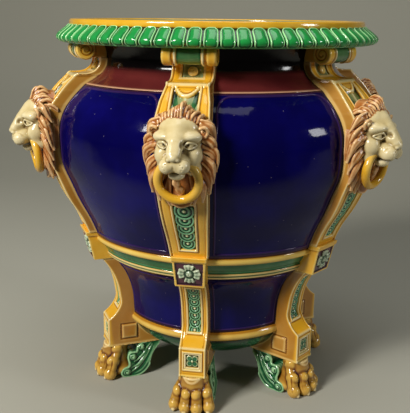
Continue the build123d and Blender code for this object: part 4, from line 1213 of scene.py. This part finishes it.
# %% Console rolls
AXIS_X, AXIS_Z, SPIRAL_RADIUS = 149.0, 370.0, 7.6
ROLL_END, BARREL_END, BEAD_END, BRACKET_HALF = 25.4, 11.6, 14.2, 20.8
RIM_UNDERSIDE = 376.9
roll_shape = np.array([(0, 9.2), (11.0, 8.9), (11.8, 9.7), (12.8, 10.4), (13.9, 9.7), (14.6, 8.5),
                       (16.2, 8.5), (16.8, 9.6), (17.8, 10.0), (24.2, 10.0), (25.4, 9.0)])
console = Clay((126, -27, 358), (161, 27, 378.4), 0.6)


def barrel(x, y, z):
    far = np.hypot(x - AXIS_X, z - AXIS_Z)
    return np.maximum(far - np.interp(np.abs(y), *roll_shape.T), np.abs(y) - ROLL_END)


def bracket(x, y, z):
    return np.maximum(np.maximum(np.abs(y) - BRACKET_HALF, x - AXIS_X), np.maximum(362.1 - z, 127 - x))


console.press(bracket, (127, -21, 362), (149, 21, 378), 0.6)
console.press(barrel, (138.5, -25.5, 359.5), (159.5, 25.5, 380.5), 0.6)
turns = np.linspace(0, 3.5 * np.pi, 40)
reach = SPIRAL_RADIUS - 1.65 * turns / np.pi
spiral = np.stack([AXIS_X + reach * np.cos(turns + 1), np.full(len(turns), ROLL_END + 0.3),
                   AXIS_Z + reach * np.sin(turns + 1)], axis=1)
console.roll(spiral, (1.1, 0.9), 0.4, cut=True, hands=BOTH)
console.field = np.maximum(console.field, console.axes[2][None, None, :] - RIM_UNDERSIDE)
points, faces = console.skin()
side = np.abs(points[:, 1])
roll_marks = {"green": 1 - ease(side, BARREL_END - 0.5, BARREL_END),
              "cream": hump(side, (BARREL_END + BEAD_END) / 2, 1.4) ** 0.3}
place_on_ribs("console", points, faces, roll_marks, ochre_glaze, "yellow_glaze", "console_scroll", 2.2)

# %% [markdown]
# The small flowers and buttons are pressed bosses. Each is a disc of rings whose outline and height change
# with the turn, set on the strap so that it faces square out.

# %% A boss on a strap
def seat(face, height):
    """The place at a height on a rising outline, and the direction square to it."""
    square = outward(face)
    at = [np.interp(height, face[:, 1], face[:, k]) for k in (0, 1)]
    out = np.array([np.interp(height, face[:, 1], square[:, k]) for k in (0, 1)])
    return at, out / np.hypot(*out)


def boss(at, out, outline_of, height_of, foot, rings=16, steps=96):
    """A pressed boss on a strap: outline_of(turn) gives its radius and height_of(share, turn) its height."""
    turn = np.linspace(0, 2 * np.pi, steps, endpoint=False)[None, :]
    share = np.linspace(0.02, 1, rings)[:, None]
    radius = share * outline_of(turn)
    height = height_of(share + 0 * turn, turn + 0 * share, radius)
    radius = np.concatenate([radius, radius[-1:]], axis=0)
    height = np.concatenate([height, 0 * height[-1:] - foot], axis=0)
    across, up = radius * np.cos(turn), radius * np.sin(turn)
    x = at[0] + height * out[0] - up * out[1]
    z = at[1] + height * out[1] + up * out[0]
    points = np.stack([x, across, z], axis=-1).reshape(-1, 3)
    return points, outside_out(points, ring_faces(*height.shape)), radius.ravel()


# %% Neck buttons and waist flowers
QUARTER, LOBES = np.pi / 2, 13


def button_height(share, turn, radius):
    return 2.3 * np.sqrt(1 - 0.86 * share ** 2) - 0.5 * hump(radius, 0, 0.9)


def petal_reach(turn):
    """Four broad petals, each with three small lobes, and a notch between each pair."""
    off = (turn + QUARTER / 2) % QUARTER - QUARTER / 2
    wide = 10.2 + 1.4 * np.cos(turn) ** 2
    lobe = 0.6 * (1 - np.cos(off * LOBES)) / 2 * (np.abs(off) < 0.6)
    return wide - lobe - 6.0 * ease(np.abs(off), 0.48, 0.75)


def petal_height(share, turn, radius):
    off = (turn + QUARTER / 2) % QUARTER - QUARTER / 2
    fan = 1.5 + 0.3 * np.cos(off * LOBES) * ease(radius, 3.5, 6.5) - 0.8 * hump(radius, 4.4, 1.2)
    cup = fan - 0.5 * ease(share, 0.86, 1.0)
    dome = 2.9 * np.sqrt(np.clip(1 - (radius / 3.3) ** 2, 0, 1)) - 0.6 * hump(radius, 0, 0.9)
    return np.maximum(cup, dome)


button_at, button_out = seat(neck_part, 354.0)
points, faces, radius = boss(button_at, button_out, lambda turn: 4.8 + 0 * turn, button_height, 1.8, 14, 48)
place_round("neck_button_set", points, faces, {"relief": 0.4 + 0 * radius}, lip_glaze, "lip_glaze",
            "neck_buttons", 1.4)

BLOCK_LOW, BLOCK_TOP = (145.0, 144.0), (152.7, 177.0)
block_run = np.subtract(BLOCK_TOP, BLOCK_LOW)
block_out = np.array([block_run[1], -block_run[0]]) / np.hypot(*block_run)
flower_at = np.mean([BLOCK_LOW, BLOCK_TOP], axis=0) - block_out + (0, -1.4)
points, faces, radius = boss(flower_at, block_out, petal_reach, petal_height, 0.6, 18, 144)
flower_marks = {"petal": 1 + 0 * radius, "cream": 0.6 * (radius < 2.9)}
place_round("waist_flowers", points, faces, flower_marks, tile_glaze, "petal_glaze", "quatrefoils", 1.6)

# %% [markdown]
# The block behind each flower is a plain slab with a cornice. Its maroon field is sunk a little inside an
# ochre edge, which keeps the runny maroon glaze in its place.

# %% Waist blocks
BLOCK_BACK, BLOCK_IN_WALL = 118, 3.5  # nearest to the axis, and depth left before the inside face
block = Clay((116, -20, 142.4), (157, 20, 178.6), 0.7)


def block_half(z):
    return np.interp(z, [144, 177], [15.0, 17.0])


def block_front(x, z):
    """Distance in front of the block's sloping face."""
    return (x - BLOCK_LOW[0]) * block_out[0] + (z - BLOCK_LOW[1]) * block_out[1]


def slab(x, y, z):
    within = np.maximum(block_front(x, z), np.abs(y) - block_half(z))
    return np.maximum(within, np.maximum(np.abs(z - 160.5) - 16.4, BLOCK_BACK - x))


def cornice(x, y, z):
    within = np.maximum(block_front(x, z) - 1.2, np.abs(y) - block_half(z) - 1.0)
    return np.maximum(within, np.maximum(np.abs(z - 174.6) - 2.3, BLOCK_BACK - x))


def sunk_field(x, y, z):
    within = np.maximum(-1.3 - block_front(x, z), np.abs(y) - block_half(z) + 2.6)
    return np.maximum(within, np.abs(z - 158.6) - 11.9)


block.press(slab, (116, -18, 143), (156, 18, 178), 0.5)
block.press(cornice, (116, -19, 172), (157, 19, 178), 0.9)
block.press(sunk_field, (140, -15, 146), (157, 15, 171), 0.5, cut=True)
inside_face = np.interp(block.axes[2], INNER[9:15, 1], INNER[9:15, 0])
back = np.maximum(BLOCK_BACK, inside_face + BLOCK_IN_WALL)
block.field = np.maximum(block.field, (back[None, :] - block.axes[0][:, None])[:, None, :])
points, faces = block.skin()
in_field = (sunk_field(*points.T) < 0.5) & (points[:, 2] < 171)
place_round("waist_block_set", points, faces, {"cream": 1.0 - in_field}, tile_glaze, "maroon_glaze",
            "waist_blocks", 2.0)


# %% Plinth tiles
def tile_relief(s, y, half_width):
    """A square frame round a flower of four petals set cornerwise."""
    up = s - s.max() / 2
    edge = np.maximum(np.abs(up) - s.max() / 2, np.abs(y) - half_width)
    turn, radius = np.arctan2(up, y), np.hypot(up, y)
    reach = 6.9 * (0.42 + 0.58 * np.abs(np.sin(2 * turn)) ** 0.7)
    rim = hump(radius, reach, 0.75)
    stand = 0.7 * hump(edge, -0.8, 1.1) - 0.9 * (edge < -1.2) + (radius < reach) * 0.55
    stand = stand + 0.55 * rim + 1.0 * np.sqrt(np.clip(1 - (radius / 1.5) ** 2, 0, 1))
    cream = hump(edge, -0.5, 1.4) * 1.4 + 0.45 * rim + 0.8 * (radius < 1.1)
    return stand, {"cream": np.clip(cream, 0, 1)}


tile_face = np.array([(129.9, 44.0), (129.9, 56.0), (129.9, 68.0)])
tile = sheet_on(tile_face, 47.6, 64.4, lambda z: 8.4 + 0 * z, 0.7, tile_relief, 0.4, 43, 1.2)
place_round("plinth_flowers", *tile, copper_relief_glaze, "relief_glaze", "plinth_tiles", 1.6)

# %% [markdown]
# Each foot is a lion's paw: four toes of three full lumps, with a deep crease between each pair and small
# claws. The brown glaze is thin on the lumps and almost purple in the creases; the purple is also painted
# shade and the thin pale glaze on the lumps also a painted highlight. A half-round collar joins it to the
# plinth.

# %% Paws
TOES = ((6.25, 0.0), (18.5, 5.76))  # distance to the side, and how far the toe lies back
PAW_TOP, PAW_FRONT = 37.9, 143.9
paw = Clay((97, -27, -1.2), (146, 27, 39.2), 0.75)
paw.roll([(119, 0, 40), (121, 0, 27), (120, 0, 16)], (13.5, 14.5, 16.5), 2.0)
paw.ball((118, 0, 9), (18, 19.5, 11), 3.0)
paw.ball((107.5, 0, 8), (8.5, 13, 8.8), 2.0)
for y, back in TOES:
    tip = (136.8 - back, y, 6.8)
    knuckle = (131.8 - back, y * 0.84, 20.8)
    root = (124.6 - back * 0.8, y * 0.56, 31.2)
    paw.roll([root, knuckle, tip], (5.2, 5.4, 5.9), 0.9, hands=BOTH)
    paw.ball(tip, (7.4, 6.3, 7.4), 0.7, hands=BOTH)
    paw.ball((knuckle[0] + 0.6, knuckle[1], knuckle[2] - 0.6), (7.4, 5.6, 7.0), 0.7, hands=BOTH)
    paw.ball((root[0] + 1.0, root[1] * 1.12, root[2] + 1.6), (6.6, 4.6, 7.4), 0.6, hands=BOTH)
    for off in (-1, 1):
        crease = [(knuckle[0] + 2.4, knuckle[1] + 5.2 * off, 27.0),
                  (knuckle[0] + 3.4, knuckle[1] + 5.6 * off, 19.0), (tip[0] + 2.6, y + 6.2 * off, 8.0)]
        paw.roll(bend_through(crease, 8), (0.3, 0.8, 0.3), 0.8, cut=True, hands=BOTH)
    paw.ball((tip[0] + 6.2, y, 3.4), (1.5, 2.0, 2.3), 0.3, hands=BOTH)
paw.ball((127.5, 0, 38.0), (6.2, 9.5, 5.2), 0.5, tag="collar")
collar_edge = [(129.0, -9.0, 38.0), (132.6, -4.5, 34.4), (133.4, 0, 33.2), (132.6, 4.5, 34.4),
               (129.0, 9.0, 38.0)]
paw.roll(bend_through(collar_edge, 11), (1.0, 1.2, 1.0), 0.4, tag="collar")
paw.field = np.maximum(paw.field, np.maximum(-paw.axes[2], paw.axes[2] - PAW_TOP)[None, None, :])
paw.field = np.maximum(paw.field, paw.axes[0][:, None, None] - PAW_FRONT)

# %% Paws: their skin, claws and collars
points, faces = paw.skin()
folded = np.stack([points[:, 0], np.abs(points[:, 1]), points[:, 2]], axis=1)
claws = np.zeros(len(points))
for y, back in TOES:
    far = np.linalg.norm((folded - (142.8 - back, y, 3.4)) / (1, 1.1, 1.2), axis=1)
    claws = np.maximum(claws, 1 - ease(far, 1.8, 2.6))
collar = 1 - ease(paw.read(paw.tags["collar"], points), 0.2, 0.8)
place_on_ribs("paw_foot", points, faces, {"claw": np.maximum(claws, 0.8 * collar)}, paw_glaze, "paw_glaze",
              "paw", 3.4)

# %% [markdown]
# Behind the paw an acanthus leaf fills the corner up to the bowl. Seen from the side its edge rolls over in
# three lobes, with a raised rim and a rib to each. The outline is a closed path, and the curls, rims and
# ribs are strands of clay laid on both sides.

# %% Leaves
leaf_edge = smooth(np.array([
    (70.5, 34), (76, 28.5), (81, 21.5), (84.5, 13), (90, 5.5), (97, 1.2), (105, 0.2), (112, 0.4),
    (116.5, 2.5), (117.3, 6.5), (115, 10), (111.5, 10.6), (108.6, 12.5), (108.2, 18), (108.8, 23.5),
    (106, 27.2), (101.8, 27.2), (98.2, 28.2), (97.4, 32), (94.2, 36), (89.5, 37.4), (84, 38.6),
    (77, 40.0), (71, 40.5), (70.5, 34)]), 1.5)


def inside_path(r, z, path):
    """Signed distance to a closed path on a flat grid, negative inside."""
    best, crossings = np.full(r.shape, FAR_OFF), np.zeros(r.shape, int)
    for (r0, z0), (r1, z1) in zip(path, path[1:]):
        d = np.array([r1 - r0, z1 - z0])
        t = np.clip(((r - r0) * d[0] + (z - z0) * d[1]) / max(d @ d, 1e-9), 0, 1)
        best = np.minimum(best, np.hypot(r - r0 - t * d[0], z - z0 - t * d[1]))
        if z0 != z1:
            crossings += ((z0 > z) != (z1 > z)) & (r < r0 + (r1 - r0) * (z - z0) / (z1 - z0))
    return np.where(crossings % 2 == 1, -best, best)


def leaf_half(z):
    """Half the leaf's width at a height."""
    return np.interp(z, [0, 15, 38], [19.6, 19.6, 13.4])


leaf = Clay((68, -23, -1.2), (120, 23, 42), 0.75)
flat_r, flat_z = np.meshgrid(leaf.axes[0], leaf.axes[2], indexing="ij")
side_view = inside_path(flat_r, flat_z, leaf_edge)
hollow = 1.6 * np.clip(-side_view / 7, 0, 1)
side_face = (leaf_half(leaf.axes[2])[None, :] - hollow)[:, None, :]
leaf.field = np.maximum(side_view[:, None, :], np.abs(leaf.axes[1])[None, :, None] - side_face)


# %% Leaves: rims, curls, ribs and folds
LEAF_FOOT, LEAF_TOP = 0.02, 41
CURL = ((2.6, 0.95), (3.9, 0.8), (5.2, 0.62), (6.6, 0.5), (7.9, 0.36))  # turn, and share of the lobe's size
LEAF_RIBS = [[(80, 34), (88, 22), (98, 11), (109, 4.5)], [(82, 35.5), (90, 26), (97, 20), (102.4, 17.5)],
             [(78, 31), (85, 18), (93, 7.5), (103, 2.5)], [(80, 37), (86, 31.5), (91, 28.6)],
             [(86, 28), (96, 15.5), (106.5, 10.5)]]


def on_side(path, sink=0.5):
    """Give a side path of radius and height its place on the leaf's side face."""
    return [(r, float(leaf_half(z)) - sink, z) for r, z in path]


leaf_rim = leaf_edge[leaf_edge[:, 0] > 84]
leaf.roll(on_side(leaf_rim[::2], 0.9), (1.5,), 0.5, hands=BOTH)
for r, z, size in ((111.6, 6.2, 4.6), (103.6, 22.8, 4.2), (92.6, 32.8, 4.0)):
    leaf.ball(on_side([(r, z)], 0.6)[0], (size, 2.8, size * 0.9), 0.6, hands=BOTH)
    curl = [(r + size * share * math.cos(a), z + size * share * math.sin(a)) for a, share in CURL]
    leaf.roll(bend_through(on_side(curl, -1.4), 12), (0.9, 0.8, 0.5), 0.5, cut=True, hands=BOTH)
for leaf_rib in LEAF_RIBS:
    leaf.roll(bend_through(on_side(leaf_rib, 1.4), 14), (0.8, 1.3, 0.9), 0.7, hands=BOTH)
for y in (-13.5, -4.5, 4.5, 13.5):
    fold = [(118.5, y, 6.0), (110.4, y, 11.6), (110.4, y, 24.5), (100.2, y, 29.0), (99.4, y, 34), (92, y, 39)]
    leaf.roll(fold, (0.7,), 1.2, cut=True)
past_ends = np.maximum(LEAF_FOOT - leaf.axes[2], leaf.axes[2] - LEAF_TOP)
leaf.field = np.maximum(leaf.field, past_ends[None, None, :])
points, faces = leaf.skin()
place_on_ribs("acanthus", points, faces, None, leaf_glaze, "leaf_glaze", "leaf", 2.6)

# %% [markdown]
# A thin raised line runs round each blue bay a finger's width in from the ribs. It keeps the cobalt from
# running into the ochre, and the cobalt breaks to brown on it. Its path is worked out on the wall, and a
# tree sweeps a round thread along it and repeats it in all six bays.

# %% Bay borders
threads, given = new_tree("thread round the axis", [("Thickness", "NodeSocketFloat")] + REPEAT_INPUTS)
thread_path = add(threads, "GeometryNodeMeshToCurve", None, {"Mesh": given["Geometry"]})
thread_ring = add(threads, "GeometryNodeCurvePrimitiveCircle", None,
                  {"Resolution": 8, "Radius": given["Thickness"]})
thread = add(threads, "GeometryNodeCurveToMesh", None, {"Curve": thread_path.outputs[0],
                                                        "Profile Curve": thread_ring.outputs[0]})
repeat_round(threads, given, thread.outputs[0])


def bay_border(name, low, high, gap, corner, half_of, thickness, material, slot):
    """A closed line in each bay: up beside one rib, round the upper corners and back along the waist."""
    def half_bay(z):
        return wall_radius(z) * np.pi / RIBS - half_of(z) - gap

    z = np.linspace(low, high - corner[1], 60)
    side_line = np.stack([half_bay(z), z], axis=1)
    bend = np.linspace(0, np.pi / 2, 16)[1:]
    top = side_line[-1]
    round_line = np.stack([top[0] - corner[0] * (1 - np.cos(bend)),
                           top[1] + corner[1] * np.sin(bend)], axis=1)
    low_line = [(s, low) for s in np.linspace(0, side_line[0, 0], 24)[:-1]]
    high_line = [(s, high) for s in np.linspace(round_line[-1, 0], 0, 20)[1:]]
    half_line = np.concatenate([low_line, side_line, round_line, high_line])
    line = np.concatenate([half_line, (half_line * (-1, 1))[::-1][1:-1]])
    turn, radius = line[:, 0] / wall_radius(line[:, 1]), wall_radius(line[:, 1]) - 0.35 * thickness
    path = np.stack([radius * np.cos(turn), radius * np.sin(turn), line[:, 1]], axis=1)
    mesh = bpy.data.meshes.new(name)
    mesh.from_pydata(path * MM, [(i, (i + 1) % len(path)) for i in range(len(path))], [])
    mesh = through(threads, mesh, {"Thickness": thickness * MM, "Copies": RIBS, "Glaze": material,
                                   "First Turn": math.radians(FIRST_RIB + RIB_STEP / 2)})
    mesh.name = name
    mark(mesh, "relief", 0.1 + 0 * points_of(mesh)[0])
    mark(mesh, "line", 0.22 + 0 * points_of(mesh)[0])
    place(name, mesh, material, slot, [])
    print(name, len(mesh.polygons), "faces")


bay_border("upper_bay_lines", 178.5, 333.0, 4.5, (20, 20),
           lambda z: np.interp(z, upper_face[:, 1], upper_half), 1.3, cobalt_glaze, "blue_glaze")
bay_border("lower_bay_lines", 80.5, 142.5, 4.0, (8, 7),
           lambda z: LOWER_HALF + 0 * z, 1.0, cobalt_glaze, "blue_glaze")

# %% [markdown]
# The floor and backdrop are one pale sweep. Its near part, out of the picture, turns dark, because glossy
# glaze mirrors what lies in front of it and the photographed pot mirrors a dark room. A large soft lamp
# stands to the left and in front, a weaker one to the right, and a wide one overhead.

# %% The paper sweep
def paper(name, code):
    """Matt photographic paper. From 0.2 to 0.5 m in front of the axis it turns dark."""
    material = bpy.data.materials.new(name)
    material.use_nodes = True
    shader = material.node_tree.nodes["Principled BSDF"]
    tree = material.node_tree
    where = add(tree, "ShaderNodeTexCoord").outputs["Object"]
    parts = add(tree, "ShaderNodeSeparateXYZ", None, {"Vector": where})
    shade = add(tree, "ShaderNodeMapRange", {"interpolation_type": "SMOOTHSTEP"},
                {"Value": parts.outputs["Y"], "From Min": -0.5, "From Max": -0.2})
    tone = add(tree, "ShaderNodeMix", {"data_type": "RGBA"},
               {0: shade.outputs[0], 6: linear("#2E2D2A"), 7: linear(code)})
    tree.links.new(tone.outputs[2], shader.inputs["Base Color"])
    shader.inputs["Roughness"].default_value = 0.9
    return material


sweep = [(-1.6, 0.0), (0.9, 0.0), (1.25, 0.03), (1.5, 0.13), (1.66, 0.32), (1.72, 0.6), (1.74, 2.6)]
sweep_mesh = bpy.data.meshes.new("backdrop")
sweep_mesh.from_pydata([(x, y, z) for y, z in sweep for x in (-3.0, 3.0)], [],
                       [(2 * i, 2 * i + 1, 2 * i + 3, 2 * i + 2) for i in range(len(sweep) - 1)])
sweep_mesh.polygons.foreach_set("use_smooth", np.ones(len(sweep_mesh.polygons), bool))
sweep_mesh.materials.append(paper("pale grey paper", "#A9A89B"))
backdrop = bpy.data.objects.new("backdrop", sweep_mesh)
bpy.context.scene.collection.objects.link(backdrop)


# %% Lamps
def softbox(name, spot, size, watts, tint=(1, 1, 1)):
    lamp = bpy.data.lights.new(name, "AREA")
    lamp.shape, lamp.size, lamp.size_y = "RECTANGLE", size[0], size[1]
    lamp.energy, lamp.color = watts, tint
    holder = bpy.data.objects.new(name, lamp)
    bpy.context.scene.collection.objects.link(holder)
    aim = Vector((0, 0, 0.22)) - Vector(spot)
    holder.matrix_world = Matrix.Translation(spot) @ aim.to_track_quat("-Z", "Y").to_matrix().to_4x4()


softbox("key", (-0.9, -1.35, 1.25), (0.45, 0.6), 39, (1.0, 0.97, 0.92))
softbox("fill", (1.7, -0.35, 0.8), (0.3, 0.4), 7)
softbox("top", (0.1, 0.0, 1.9), (1.2, 0.9), 8)
world = bpy.data.worlds.new("studio")
bpy.context.scene.world = world
world.use_nodes = True
sky = world.node_tree.nodes["Background"]
sky.inputs["Color"].default_value = linear("#8C8F84")
sky.inputs["Strength"].default_value = 0.12
print("lamps:", [lamp.name for lamp in bpy.data.lights])
